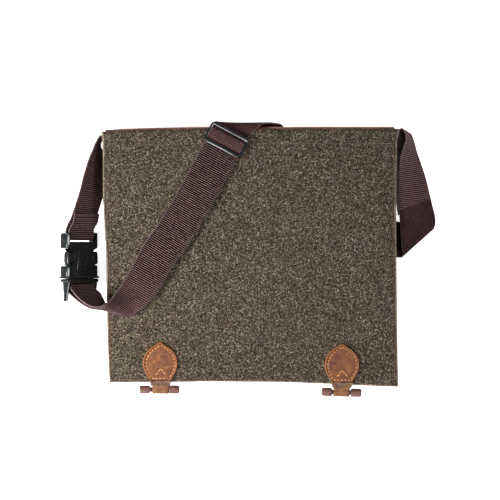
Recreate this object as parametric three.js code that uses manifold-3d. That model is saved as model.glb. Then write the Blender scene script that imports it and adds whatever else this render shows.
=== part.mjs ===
import * as THREE from 'three';
import { mergeVertices } from 'three/addons/utils/BufferGeometryUtils.js';
import Module from 'manifold-3d';

// A felt hunting bag lying on its back, in millimetres.
// X runs to the right across the flap, Y towards the bag's mouth and Z up from the floor.

// Driving dimensions: materials
const FELT = 3;
const LEATHER = 1.8;
const WEBBING_WIDTH = 40;
const WEBBING_THICKNESS = 1.6;
const GAP = 0.3;

// Driving dimensions: the wedge-shaped body, from its mouth down to its bottom seam
const MOUTH_Y = 118;
const BODY_BOTTOM_Y = -131;
const RAMP_TOP_Y = 140;
const RAMP_BOTTOM_Y = -135;
const DEPTH_TOP = 45;
const DEPTH_BOTTOM = 17;
const CORNER_RADIUS = 10;
const LEFT_OVERHANG = 2.4;
const RIGHT_OVERHANG = 2;
const FLAP_CLEARANCE = 0.4;
const BAND_LEG = 23;
const BAND_REACH = 0.3;
const BAND_END_INSET = 0.4;
const BACK_TOP_DROP = 1.6;
const STRAP_DENT = 2.4;
const DENT_CORE = 34;
const DENT_FADE = 18;

// Driving dimensions: the buckle, leaning on its lower edge beside the bag
const BUCKLE_CENTRE = new THREE.Vector3(-186.6, -10.5, 24);
const BUCKLE_LEAN = THREE.MathUtils.degToRad(52);
const BUCKLE_WIDTH = 50;
const BUCKLE_THICKNESS = 11.5;
const PARTING = -9.7;
const MALE_END = -35;
const SLOT_WIDTH = 41.5;
const FEMALE_BAR = 36.5;
const MALE_BAR = -17;
const BAR_ROOT = 0.5;
const FEMALE_TURN = 3.3;
const MALE_TURN = 3.1;
const CORNER_ROUND = 3;

// Driving dimensions: the three-bar slider and the strap's way across the flap
const SLIDER_CENTRE = new THREE.Vector2(-23.7, 132.5);
const SLIDER_LENGTH = 46;
const SLIDER_DEPTH = 24;
const SLIDER_BAR = 3.5;
const STRAP_HEADING = new THREE.Vector2(-0.47, -0.883).normalize();
const LAYER_RISE = 1.1;
const LAYER_HALF_PITCH = 1.05;

// Driving dimensions: the fastenings at the flap's bottom edge
const TAB_THICKNESS = 2;
const LOOP_WIDTH = 18;
const TOGGLE_RADIUS = 4.7;
const TOGGLE_NECK_RADIUS = 2.7;
const TOGGLE_BARREL = 11.8;
const TOGGLE_LENGTH = 44.8;
const TOGGLE_Z = 15.8;
const KEEPER_WIDTH = 23;
const KEEPER_ROUND = 0.8;

// The flap's side edges, from its top to its bottom corners
const FLAP_SIDES = [
  { y: 146, left: -160.8, right: 166 },
  { y: 128, left: -159.2, right: 163 },
  { y: 66, left: -159.6, right: 162.3 },
  { y: 7, left: -156.6, right: 163.4 },
  { y: -88, left: -156, right: 165 },
  { y: -140, left: -154, right: 166.6 },
];

// The flap's top and bottom edges, from left to right
const FLAP_ENDS = [
  { x: -160, top: 141.5, bottom: -135.8 },
  { x: -100, top: 144.3, bottom: -135.5 },
  { x: -55, top: 145.4, bottom: -134.8 },
  { x: 35, top: 145.4, bottom: -135.3 },
  { x: 92, top: 145.8, bottom: -137.4 },
  { x: 166, top: 145.8, bottom: -140.6 },
];

// The strap's two edges at each section: u is the edge that lies uppermost, l the other one.
// The short strap leaves the top left corner, turns over and leans outward down to the buckle.
const SHORT_STRAP = [
  { ux: -158.3, uy: 98, uz: 40.4, lx: -158.3, ly: 98, lz: 0.4 },
  { ux: -158.3, uy: 128, uz: 40.4, lx: -158.3, ly: 128, lz: 0.4 },
  { ux: -162, uy: 137, uz: 40.4, lx: -161.6, ly: 137, lz: 0.4 },
  { ux: -167, uy: 130, uz: 40.2, lx: -165.4, ly: 128.4, lz: 0.6 },
  { ux: -171, uy: 121, uz: 39.8, lx: -161.8, ly: 119.6, lz: 0.9 },
  { ux: -175, uy: 112, uz: 38.6, lx: -161.4, ly: 109.8, lz: 1.5 },
  { ux: -180.6, uy: 95, uz: 36.9, lx: -161.2, ly: 92.4, lz: 2.5 },
  { ux: -185.2, uy: 77, uz: 36.6, lx: -161.4, ly: 74.6, lz: 3.6 },
  { ux: -190.5, uy: 60, uz: 37.2, lx: -166.4, ly: 57.4, lz: 5.8 },
  { ux: -195, uy: 47, uz: 38.8, lx: -169.8, ly: 46, lz: 8 },
];

// Its sewn end, folded back over the first layer above the buckle
const SHORT_STRAP_END = [
  { ux: -192.7, uy: 42, uz: 40, lx: -167.7, ly: 42, lz: 9.2 },
  { ux: -190.8, uy: 52, uz: 39.4, lx: -166, ly: 52, lz: 8.2 },
];

// The long strap: sewn on beside the top right corner with its lower edge standing off the bag, then
// round outward, down again and rolled under along a slanting fold
const RIGHT_LOOP = [
  { ux: 162.4, uy: 68, uz: 36.8, lx: 168, ly: 50, lz: 1.8 },
  { ux: 162.3, uy: 92, uz: 39.2, lx: 171, ly: 82, lz: 2 },
  { ux: 162.3, uy: 114, uz: 40.2, lx: 175.5, ly: 112, lz: 2.6 },
  { ux: 162.8, uy: 131, uz: 40.4, lx: 177, ly: 131, lz: 3 },
  { ux: 168.2, uy: 145, uz: 40.6, lx: 181, ly: 141.3, lz: 2 },
  { ux: 173.7, uy: 134.5, uz: 41, lx: 185.4, ly: 131.5, lz: 1.5 },
  { ux: 170.5, uy: 124, uz: 40, lx: 188, ly: 121.8, lz: 2.2 },
  { ux: 167.6, uy: 112.5, uz: 37.4, lx: 192.2, ly: 109.6, lz: 3.4 },
  { ux: 166.4, uy: 95, uz: 33.8, lx: 198, ly: 91.4, lz: 5.6 },
  { ux: 166.2, uy: 77.5, uz: 29.5, lx: 202.2, ly: 73.4, lz: 8.6 },
  { ux: 166.8, uy: 60, uz: 24.8, lx: 205.8, ly: 57.6, lz: 11.2 },
  { ux: 168.3, uy: 40, uz: 19.6, lx: 208, ly: 48, lz: 12 },
  { ux: 170.2, uy: 18, uz: 15.5, lx: 208.4, ly: 40, lz: 8.6 },
  { ux: 171.8, uy: 4, uz: 8.4, lx: 206, ly: 34.5, lz: 4.8 },
  { ux: 166, uy: 3, uz: 2.4, lx: 198, ly: 36, lz: 2.2 },
];

// The middle of the strap lying under the bag, from the right edge to the top edge
const UNDER_BAG = [
  { x: 161, y: 24 },
  { x: 131, y: 27 },
  { x: 102, y: 36 },
  { x: 77, y: 53 },
  { x: 58, y: 76 },
];

// Where that middle line leads at its two ends: to the fold on the right and to the top edge
const FOLD_MIDDLE = { x: 190, y: 20 };
const TOP_EDGE_LEAD = [
  { x: 40, y: 106 },
  { x: 18, y: 146 },
];

// The strap over the top edge, from under the bag to the slider
const CREST = [
  { ux: 22.4, uy: 96.6, uz: 1.1, lx: 57.6, ly: 115.4, lz: 1.1 },
  { ux: 8.4, uy: 122, uz: 1.1, lx: 45, ly: 137, lz: 1.1 },
  { ux: -2, uy: 139, uz: 1.2, lx: 40.6, ly: 144.6, lz: 1.2 },
  { ux: -6, uy: 148.2, uz: 2.6, lx: 40, ly: 148.4, lz: 2.6 },
  { ux: -9, uy: 150.2, uz: 8, lx: 36.8, ly: 151.2, lz: 8 },
  { ux: -12.8, uy: 150.4, uz: 16, lx: 32.8, ly: 151.6, lz: 16 },
  { ux: -17.8, uy: 150.4, uz: 26, lx: 28.4, ly: 151.6, lz: 26 },
  { ux: -22.6, uy: 150.2, uz: 36, lx: 24, ly: 151.2, lz: 36.4 },
  { ux: -27, uy: 150.4, uz: 44.5, lx: 19, ly: 150.4, lz: 45.4 },
  { ux: -31, uy: 151.2, uz: 49.3, lx: 13, ly: 147.4, lz: 50.8 },
];

// The lower stretch on the flap and the turn down to the buckle, midway between its two layers.
// spread is half the distance between the layers.
const LEFT_TURN = [
  { ux: -93.7, uy: 48, uz: 41.4, lx: -59.3, ly: 28.2, lz: 41.2, spread: 1.05 },
  { ux: -114.7, uy: 16.8, uz: 38.8, lx: -80.6, ly: -3.4, lz: 38.4, spread: 1.05 },
  { ux: -137.2, uy: -23.7, uz: 38.5, lx: -105, ly: -41.6, lz: 33.4, spread: 1.05 },
  { ux: -146.4, uy: -37.4, uz: 47, lx: -121, ly: -56.5, lz: 31.2, spread: 1.05 },
  { ux: -150.6, uy: -43.7, uz: 57, lx: -130.4, ly: -61, lz: 31.6, spread: 1.05 },
  { ux: -155.5, uy: -48.4, uz: 64, lx: -139.2, ly: -60.6, lz: 32, spread: 1.05 },
  { ux: -162.4, uy: -51.6, uz: 65.5, lx: -148.2, ly: -56.6, lz: 32.2, spread: 1.05 },
  { ux: -170.7, uy: -51.2, uz: 63, lx: -156.4, ly: -50.4, lz: 31.4, spread: 1.1 },
  { ux: -180.2, uy: -47, uz: 55, lx: -160.6, ly: -44.4, lz: 22, spread: 1.3 },
  { ux: -190, uy: -39.8, uz: 45, lx: -165.6, ly: -38, lz: 14.6, spread: 2 },
];

const wasm = await Module();
wasm.setup();

function material(color, roughness) {
  return new THREE.MeshStandardMaterial({ color, roughness, metalness: 0 });
}

const felt = material('#615545', 0.95);
const leather = material('#8e5f44', 0.6);
const paleLeather = material('#a57856', 0.65);
const keeperLeather = material('#947056', 0.7);
const webbing = material('#473436', 0.8);
const plastic = material('#242424', 0.4);
const toggleWood = material('#855f55', 0.55);

const bag = new THREE.Group();

function add(name, geometry, surface, parent = bag) {
  const mesh = new THREE.Mesh(geometry, surface);
  mesh.name = name;
  parent.add(mesh);
  return mesh;
}

// A value read from a table whose rows are in order of one of their columns
function tableValue(table, column, at, wanted) {
  const rising = table[0][column] < table[table.length - 1][column];
  const rows = rising ? table : [...table].reverse();
  let row = 0;
  while (row < rows.length - 2 && at > rows[row + 1][column]) {
    row += 1;
  }
  const start = rows[row];
  const end = rows[row + 1];
  const share = THREE.MathUtils.clamp((at - start[column]) / (end[column] - start[column]), 0, 1);
  return THREE.MathUtils.lerp(start[wanted], end[wanted], share);
}

const flapLeft = (y) => tableValue(FLAP_SIDES, 'y', y, 'left');
const flapRight = (y) => tableValue(FLAP_SIDES, 'y', y, 'right');
const flapTop = (x) => tableValue(FLAP_ENDS, 'x', x, 'top');
const flapBottom = (x) => tableValue(FLAP_ENDS, 'x', x, 'bottom');

// Height of the front panel's outer face and of the flap's outer face
const rampSlope = (DEPTH_TOP - DEPTH_BOTTOM) / (RAMP_TOP_Y - RAMP_BOTTOM_Y);
const frontFace = (y) => DEPTH_BOTTOM + rampSlope * (y - RAMP_BOTTOM_Y);
const flapFace = (y) => frontFace(y) + FLAP_CLEARANCE + FELT;
const rampTilt = Math.atan(rampSlope);

// Gives a closed geometry outward faces and only its positions
function closed(geometry) {
  geometry.deleteAttribute('normal');
  geometry.deleteAttribute('uv');
  const merged = mergeVertices(geometry, 1e-3);
  const position = merged.attributes.position;
  const index = merged.index;
  const corner = [new THREE.Vector3(), new THREE.Vector3(), new THREE.Vector3()];
  let volume = 0;
  for (let i = 0; i < index.count; i += 3) {
    corner.forEach((point, side) => point.fromBufferAttribute(position, index.getX(i + side)));
    volume += corner[0].dot(corner[1].clone().cross(corner[2])) / 6;
  }
  if (volume < 0) {
    for (let i = 0; i < index.count; i += 3) {
      const second = index.getX(i + 1);
      index.setX(i + 1, index.getX(i + 2));
      index.setX(i + 2, second);
    }
  }
  return merged;
}

// A box bent into a sheet or strip: place gives the point for shares across, along and through it
function bent(acrossSteps, alongSteps, throughSteps, place) {
  const geometry = new THREE.BoxGeometry(1, 1, 1, acrossSteps, alongSteps, throughSteps);
  const position = geometry.attributes.position;
  for (let i = 0; i < position.count; i += 1) {
    const across = position.getX(i) + 0.5;
    const along = position.getY(i) + 0.5;
    const through = position.getZ(i) + 0.5;
    const point = place(across, along, through);
    position.setXYZ(i, point.x, point.y, point.z);
  }
  return closed(geometry);
}

function solid(geometry) {
  const bare = closed(geometry.clone());
  return new wasm.Manifold(new wasm.Mesh({
    numProp: 3,
    vertProperties: new Float32Array(bare.attributes.position.array),
    triVerts: new Uint32Array(bare.index.array),
  }));
}

function geometryOf(shape) {
  const { vertProperties, triVerts } = shape.getMesh();
  const geometry = new THREE.BufferGeometry();
  geometry.setAttribute('position', new THREE.BufferAttribute(new Float32Array(vertProperties), 3));
  geometry.setIndex(new THREE.BufferAttribute(new Uint32Array(triVerts), 1));
  return geometry;
}

// A block given by its lower and upper corners
function block(low, high) {
  const size = high.map((value, axis) => value - low[axis]);
  const geometry = new THREE.BoxGeometry(...size);
  geometry.translate(...low.map((value, axis) => value + size[axis] / 2));
  return solid(geometry);
}

// A flat block with rounded corners, given by its lower and upper corners
function roundedBlock(low, high, radius) {
  const shape = new THREE.Shape();
  shape.moveTo(low[0] + radius, low[1]);
  shape.absarc(high[0] - radius, low[1] + radius, radius, -Math.PI / 2, 0, false);
  shape.absarc(high[0] - radius, high[1] - radius, radius, 0, Math.PI / 2, false);
  shape.absarc(low[0] + radius, high[1] - radius, radius, Math.PI / 2, Math.PI, false);
  shape.absarc(low[0] + radius, low[1] + radius, radius, Math.PI, Math.PI * 1.5, false);
  const depth = high[2] - low[2];
  const geometry = new THREE.ExtrudeGeometry(shape, { depth, bevelEnabled: false, curveSegments: 5 });
  geometry.translate(0, 0, low[2]);
  return solid(geometry);
}

// The strap under the bag, in steps fine enough to measure from
const floorPoint = (row) => new THREE.Vector3(row.x, row.y, 0);
const underRows = [...UNDER_BAG, ...TOP_EDGE_LEAD];
const underCurve = new THREE.CatmullRomCurve3(underRows.map(floorPoint));
const underSteps = 40;
const underPoints = [...underCurve.getPoints(underSteps), floorPoint(FOLD_MIDDLE)];

// How far the back panel is lifted by the strap beneath it
function strapLift(x, y) {
  const here = new THREE.Vector3(x, y, 0);
  const nearest = Math.min(...underPoints.map((point) => point.distanceTo(here)));
  const fade = THREE.MathUtils.clamp((nearest - DENT_CORE) / DENT_FADE, 0, 1);
  return STRAP_DENT * (1 - THREE.MathUtils.smoothstep(fade, 0, 1));
}

// The flap
function flapPoint(across, along, through) {
  const middleY = THREE.MathUtils.lerp(BODY_BOTTOM_Y, MOUTH_Y, along);
  const guessX = THREE.MathUtils.lerp(flapLeft(middleY), flapRight(middleY), across);
  const y = THREE.MathUtils.lerp(flapBottom(guessX), flapTop(guessX), along);
  const x = THREE.MathUtils.lerp(flapLeft(y), flapRight(y), across);
  return new THREE.Vector3(x, y, flapFace(y) - FELT * (1 - through));
}
add('flap', bent(12, 10, 1, flapPoint), felt);

// The body's outline inside the flap's, with round bottom corners
function cornerInset(y) {
  const rise = y - BODY_BOTTOM_Y;
  if (rise >= CORNER_RADIUS) {
    return 0;
  }
  return CORNER_RADIUS - Math.sqrt(CORNER_RADIUS ** 2 - (CORNER_RADIUS - rise) ** 2);
}
const bodyLeft = (y) => flapLeft(y) + LEFT_OVERHANG;
const bodyRight = (y) => flapRight(y) - RIGHT_OVERHANG;

// Heights of a panel's rows, close together round the bottom corners
function panelRow(along, top) {
  const cornerRows = 0.25;
  const cornerShare = 0.04;
  if (along < cornerRows) {
    return THREE.MathUtils.lerp(BODY_BOTTOM_Y, top, cornerShare * (along / cornerRows));
  }
  const beyond = (along - cornerRows) / (1 - cornerRows);
  return THREE.MathUtils.lerp(BODY_BOTTOM_Y, top, cornerShare + (1 - cornerShare) * beyond);
}

function panelX(across, y) {
  const inset = cornerInset(y);
  return THREE.MathUtils.lerp(bodyLeft(y) + inset, bodyRight(y) - inset, across);
}

// The front panel, under the flap
add('front_panel', bent(8, 12, 1, (across, along, through) => {
  const y = panelRow(along, MOUTH_Y);
  return new THREE.Vector3(panelX(across, y), y, frontFace(y) - FELT * (1 - through));
}), felt);

// The back panel, on the floor except where the strap lies under it
add('back_panel', bent(26, 28, 1, (across, along, through) => {
  const y = panelRow(along, flapTop(0) - BACK_TOP_DROP);
  const x = panelX(across, y);
  return new THREE.Vector3(x, y, strapLift(x, y) + FELT * through);
}), felt);

// The gusset's outer line: down the left side, along the bottom and up the right side
function gussetLine() {
  const points = [];
  const sideSteps = 20;
  const arcSteps = 6;
  const bottomSteps = 12;
  const arcY = BODY_BOTTOM_Y + CORNER_RADIUS;
  for (let i = 0; i < sideSteps; i += 1) {
    const y = THREE.MathUtils.lerp(MOUTH_Y, arcY, i / sideSteps);
    points.push(new THREE.Vector2(bodyLeft(y), y));
  }
  const leftArcX = bodyLeft(arcY) + CORNER_RADIUS;
  const rightArcX = bodyRight(arcY) - CORNER_RADIUS;
  for (let i = 0; i < arcSteps; i += 1) {
    const angle = Math.PI + (Math.PI / 2) * (i / arcSteps);
    points.push(new THREE.Vector2(leftArcX, arcY).add(
      new THREE.Vector2(Math.cos(angle), Math.sin(angle)).multiplyScalar(CORNER_RADIUS),
    ));
  }
  for (let i = 0; i < bottomSteps; i += 1) {
    points.push(new THREE.Vector2(THREE.MathUtils.lerp(leftArcX, rightArcX, i / bottomSteps), BODY_BOTTOM_Y));
  }
  for (let i = 0; i < arcSteps; i += 1) {
    const angle = Math.PI * 1.5 + (Math.PI / 2) * (i / arcSteps);
    points.push(new THREE.Vector2(rightArcX, arcY).add(
      new THREE.Vector2(Math.cos(angle), Math.sin(angle)).multiplyScalar(CORNER_RADIUS),
    ));
  }
  for (let i = 0; i <= sideSteps; i += 1) {
    const y = THREE.MathUtils.lerp(arcY, MOUTH_Y, i / sideSteps);
    points.push(new THREE.Vector2(bodyRight(y), y));
  }
  return points;
}

// The direction square to a line of points at one of them, to the left of its run
function leftOf(points, i) {
  const before = points[Math.max(i - 1, 0)];
  const after = points[Math.min(i + 1, points.length - 1)];
  const run = after.clone().sub(before).normalize();
  return new THREE.Vector2(-run.y, run.x);
}

const gussetPoints = gussetLine();
add('gusset', bent(2, gussetPoints.length - 1, 1, (across, along, through) => {
  const i = Math.round(along * (gussetPoints.length - 1));
  const spot = gussetPoints[i].clone().addScaledVector(leftOf(gussetPoints, i), FELT * through);
  const low = FELT + 2 * GAP + strapLift(spot.x, spot.y);
  const high = frontFace(spot.y) - FELT - GAP;
  return new THREE.Vector3(spot.x, spot.y, THREE.MathUtils.lerp(low, high, across));
}), felt);

// The leather band: a leg under the flap, a web over the mouth and a leg on the back panel
const bandProfile = [
  { drop: BAND_LEG, level: 1 },
  { drop: 12, level: 1 },
  { drop: 3, level: 1 },
  { drop: 0.8, level: 0.975 },
  { drop: 0, level: 0.92 },
  { drop: 0, level: 0.5 },
  { drop: 0, level: 0.07 },
  { drop: 0.8, level: 0.02 },
  { drop: 3, level: 0 },
  { drop: 12, level: 0 },
  { drop: BAND_LEG, level: 0 },
];
function bandLine(x) {
  return bandProfile.map((row) => {
    const y = flapTop(x) + BAND_REACH - row.drop;
    const low = FELT + 2 * GAP + LEATHER / 2 + strapLift(x, y);
    const high = frontFace(y) - LEATHER / 2;
    return new THREE.Vector2(y, THREE.MathUtils.lerp(low, high, row.level));
  });
}
add('top_band', bent(26, bandProfile.length - 1, 1, (across, along, through) => {
  const leftEnd = bodyLeft(MOUTH_Y) + BAND_END_INSET;
  const rightEnd = bodyRight(MOUTH_Y) - BAND_END_INSET;
  const x = THREE.MathUtils.lerp(leftEnd, rightEnd, across);
  const line = bandLine(x);
  const i = Math.round(along * (line.length - 1));
  const spot = line[i].clone().addScaledVector(leftOf(line, i), LEATHER * (through - 0.5));
  return new THREE.Vector3(x, spot.x, spot.y);
}), leather);

// A section of webbing: its two edges and half the distance to a second layer
function section(row) {
  return {
    upper: new THREE.Vector3(row.ux, row.uy, row.uz),
    lower: new THREE.Vector3(row.lx, row.ly, row.lz),
    spread: row.spread ?? 0,
  };
}

function middle(strip) {
  return strip.upper.clone().add(strip.lower).multiplyScalar(0.5);
}

// The direction a strip of sections faces at one of them
function facing(strips, i) {
  const run = middle(strips[Math.min(i + 1, strips.length - 1)]).sub(middle(strips[Math.max(i - 1, 0)]));
  const across = strips[i].upper.clone().sub(strips[i].lower);
  return run.cross(across).normalize();
}

// A strip of sections moved off itself by each section's own spread
function layer(strips, side) {
  return strips.map((strip, i) => {
    const shift = facing(strips, i).multiplyScalar(side * strip.spread);
    return { upper: strip.upper.clone().add(shift), lower: strip.lower.clone().add(shift), spread: 0 };
  });
}

// A solid strip of webbing through its sections
function webbingStrip(strips, stepsPerSection) {
  const upperCurve = new THREE.CatmullRomCurve3(strips.map((strip) => strip.upper), false, 'centripetal');
  const lowerCurve = new THREE.CatmullRomCurve3(strips.map((strip) => strip.lower), false, 'centripetal');
  const steps = (strips.length - 1) * stepsPerSection;
  const fine = [];
  for (let i = 0; i <= steps; i += 1) {
    fine.push({ upper: upperCurve.getPoint(i / steps), lower: lowerCurve.getPoint(i / steps) });
  }
  return bent(1, steps, 1, (across, along, through) => {
    const i = Math.round(along * steps);
    const point = fine[i].lower.clone().lerp(fine[i].upper, across);
    return point.addScaledVector(facing(fine, i), WEBBING_THICKNESS * (through - 0.5));
  });
}

// The buckle's own directions: along its width to the upper edge, and out of its face
const buckleUp = new THREE.Vector3(-Math.cos(BUCKLE_LEAN), 0, Math.sin(BUCKLE_LEAN));
const buckleFace = new THREE.Vector3(Math.sin(BUCKLE_LEAN), 0, Math.cos(BUCKLE_LEAN));

// A section of webbing at the buckle: its place along the buckle and its height over the middle
function buckleSection(along, height) {
  const centre = BUCKLE_CENTRE.clone().addScaledVector(buckleFace, height);
  centre.y += along;
  return {
    upper: centre.clone().addScaledVector(buckleUp, WEBBING_WIDTH / 2),
    lower: centre.clone().addScaledVector(buckleUp, -WEBBING_WIDTH / 2),
    spread: 0,
  };
}

// Webbing bent round a bar from below its face to above it; turn is +1 where it opens upward
function barLoop(barAlong, radius, turn) {
  const loop = [];
  for (const degrees of [-80, -45, 0, 45, 80]) {
    const angle = THREE.MathUtils.degToRad(degrees);
    loop.push(buckleSection(barAlong - turn * radius * Math.cos(angle), radius * Math.sin(angle)));
  }
  return loop;
}

// The short strap: down to the female half, round its bar and back up to the sewn end
const shortMain = SHORT_STRAP.map(section);
const shortEnd = SHORT_STRAP_END.map(section);
const intoFemale = { along: 46, height: -1.6 };
const outOfFemale = { along: 44, height: 2.9 };
const shortStrap = [
  ...shortMain,
  buckleSection(intoFemale.along, intoFemale.height),
  ...barLoop(FEMALE_BAR, FEMALE_TURN, 1),
  buckleSection(outOfFemale.along, outOfFemale.height),
  ...shortEnd,
];
add('strap_short', webbingStrip(shortStrap, 3), webbing);

// A section of the strap on the flap, at a distance down the strap from the slider
function flapSection(distance, height, lift) {
  const edge = (side, rise) => {
    const x = SLIDER_CENTRE.x + STRAP_HEADING.x * distance + STRAP_HEADING.y * side;
    const y = SLIDER_CENTRE.y + STRAP_HEADING.y * distance - STRAP_HEADING.x * side;
    return new THREE.Vector3(x, y, flapFace(y) + height + rise);
  };
  return { upper: edge(WEBBING_WIDTH / 2, 0), lower: edge(-WEBBING_WIDTH / 2, lift), spread: 0 };
}

// A section of the strap under the bag, square to its middle line
function underSection(share) {
  const spot = underCurve.getPoint(share);
  const run = underCurve.getTangent(share);
  const side = new THREE.Vector3(-run.y, run.x, 0).multiplyScalar(WEBBING_WIDTH / 2);
  const level = new THREE.Vector3(0, 0, WEBBING_THICKNESS / 2 + GAP);
  return { upper: spot.clone().add(side).add(level), lower: spot.clone().sub(side).add(level), spread: 0 };
}

const LOWER_LAYER = LAYER_RISE;
const UPPER_LAYER = LAYER_RISE + 2 * LAYER_HALF_PITCH;

// Distance down the strap and height over the flap for the running layer in the slider
const throughSlider = [
  { distance: -11.5, height: 2.5 },
  { distance: -8.2, height: 2.6 },
  { distance: -6.2, height: 5 },
  { distance: -4.4, height: 7.3 },
  { distance: 0, height: 7.7 },
  { distance: 4.4, height: 7 },
  { distance: 6.6, height: 4.6 },
  { distance: 9, height: UPPER_LAYER },
  { distance: 20, height: UPPER_LAYER, lift: 0.7 },
  { distance: 60, height: UPPER_LAYER, lift: 1.8 },
];

// The same for the strap's end, which is sewn round the slider's middle bar
const roundMiddleBar = [
  { distance: 60, height: LOWER_LAYER, lift: 1.8 },
  { distance: 20, height: LOWER_LAYER, lift: 0.7 },
  { distance: 4, height: LOWER_LAYER - 0.1 },
  { distance: -2.4, height: LOWER_LAYER - 0.1 },
  { distance: -4.2, height: 2 },
  { distance: -4.6, height: 3.3 },
  { distance: -4, height: 4.8 },
  { distance: -2.2, height: 5.45 },
  { distance: 4.4, height: 5.3 },
];

const turnStrips = LEFT_TURN.map(section);
const intoMale = { along: -22, under: -1, over: 6.4 };
const longStrap = [
  ...RIGHT_LOOP.map(section),
  ...[0, 1, 2, 3, 4].map((i) => underSection(i / (UNDER_BAG.length + 1))),
  ...CREST.map(section),
  ...throughSlider.map((row) => flapSection(row.distance, row.height, row.lift ?? 0)),
  ...layer(turnStrips, -1),
  buckleSection(intoMale.along, intoMale.under),
  ...barLoop(MALE_BAR, MALE_TURN, -1),
  buckleSection(intoMale.along, intoMale.over),
  ...layer(turnStrips, 1).reverse(),
  ...roundMiddleBar.map((row) => flapSection(row.distance, row.height, row.lift ?? 0)),
];
add('strap_long', webbingStrip(longStrap, 2), webbing);

// The buckle lies in a group of its own, width along X, length along Y, face up
const buckle = new THREE.Group();
buckle.position.copy(BUCKLE_CENTRE);
buckle.rotation.y = BUCKLE_LEAN;
bag.add(buckle);

const halfWidth = BUCKLE_WIDTH / 2;
const halfThick = BUCKLE_THICKNESS / 2;
const halfSlot = SLOT_WIDTH / 2;

// The female half: a shell with a finger scoop in each side, a slot and a bar for the webbing
function femaleHalf() {
  const earTop = 41;
  const cavityTop = 24;
  const cavityHalf = 3.4;
  const scoopLow = 4;
  const scoopHigh = 24;
  const scoopDepth = 10.5;
  const scoopRound = 8.5;
  const slotLow = 31;
  const barHalf = 1.6;
  const shell = roundedBlock([-halfWidth, PARTING, -halfThick], [halfWidth, earTop, halfThick], CORNER_ROUND);
  const cavity = block([-halfSlot, PARTING - 1, -cavityHalf], [halfSlot, cavityTop, cavityHalf]);
  const slot = block([-halfSlot, slotLow, -halfThick - 1], [halfSlot, earTop + 1, halfThick + 1]);
  const bar = block(
    [-halfSlot - BAR_ROOT, FEMALE_BAR - barHalf, -barHalf],
    [halfSlot + BAR_ROOT, FEMALE_BAR + barHalf, barHalf],
  );
  let half = shell.subtract(cavity).subtract(slot).add(bar);
  for (const side of [-1, 1]) {
    half = half.subtract(roundedBlock(
      [side * halfWidth - scoopDepth, scoopLow, -halfThick - 1],
      [side * halfWidth + scoopDepth, scoopHigh, halfThick + 1],
      scoopRound,
    ));
  }
  return half;
}
add('buckle_female', geometryOf(femaleHalf()), plastic, buckle);

// The male half: a base with a bar for the webbing, two sprung arms and a guide between them
function maleHalf() {
  const top = PARTING - GAP;
  const throatTop = -12.4;
  const barHalf = 1.5;
  const coverLow = -15.8;
  const coverUnder = 4.4;
  const tongueHalf = 2.6;
  const tongueRoot = throatTop + 0.4;
  const guideHalf = 5;
  const guideTop = 20;
  const armInner = 15;
  const armOuter = 19.5;
  const armTop = 17;
  const buttonLow = 6.5;
  const buttonHigh = 20;
  const buttonInner = 18.5;
  const buttonOuter = halfWidth - 0.8;
  const buttonHalf = 4.6;
  const base = roundedBlock([-halfWidth, MALE_END, -halfThick], [halfWidth, top, halfThick], CORNER_ROUND);
  const throat = block([-halfSlot, MALE_END - 1, -halfThick - 1], [halfSlot, throatTop, halfThick + 1]);
  const bar = block(
    [-halfSlot - BAR_ROOT, MALE_BAR - barHalf, -barHalf],
    [halfSlot + BAR_ROOT, MALE_BAR + barHalf, barHalf],
  );
  const cover = block(
    [-halfSlot - BAR_ROOT, coverLow, coverUnder],
    [halfSlot + BAR_ROOT, top - 1, halfThick],
  );
  const guide = block([-guideHalf, tongueRoot, -tongueHalf], [guideHalf, guideTop, tongueHalf]);
  let half = base.subtract(throat).add(bar).add(cover).add(guide);
  for (const side of [-1, 1]) {
    const arm = [side * armInner, side * armOuter];
    const button = [side * buttonInner, side * buttonOuter];
    half = half.add(block(
      [Math.min(...arm), tongueRoot, -tongueHalf],
      [Math.max(...arm), armTop, tongueHalf],
    ));
    half = half.add(block(
      [Math.min(...button), buttonLow, -buttonHalf],
      [Math.max(...button), buttonHigh, buttonHalf],
    ));
  }
  return half;
}
add('buckle_male', geometryOf(maleHalf()), plastic, buckle);

// The slider: a rounded frame, two raised outer bars and a middle bar
function sliderShape() {
  const halfLength = SLIDER_LENGTH / 2;
  const halfDepth = SLIDER_DEPTH / 2;
  const opening = halfDepth - SLIDER_BAR;
  const frameLow = 2.2;
  const frameHigh = 6.9;
  const barUnder = 4.3;
  const middleHalf = 2;
  const middleTop = 4.2;
  const frame = roundedBlock(
    [-halfLength, -halfDepth, frameLow],
    [halfLength, halfDepth, frameHigh],
    CORNER_ROUND,
  );
  const hole = block([-halfSlot, -opening, frameLow - 1], [halfSlot, opening, frameHigh + 1]);
  const channel = block([-halfSlot, -halfDepth - 1, frameLow - 1], [halfSlot, halfDepth + 1, barUnder]);
  const bar = block(
    [-halfSlot - BAR_ROOT, -middleHalf, frameLow],
    [halfSlot + BAR_ROOT, middleHalf, middleTop],
  );
  return frame.subtract(hole).subtract(channel).add(bar);
}
const slider = add('slider', geometryOf(sliderShape()), plastic);
slider.position.set(SLIDER_CENTRE.x, SLIDER_CENTRE.y, flapFace(SLIDER_CENTRE.y));
slider.rotation.set(rampTilt, 0, Math.atan2(STRAP_HEADING.x, -STRAP_HEADING.y));

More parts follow.
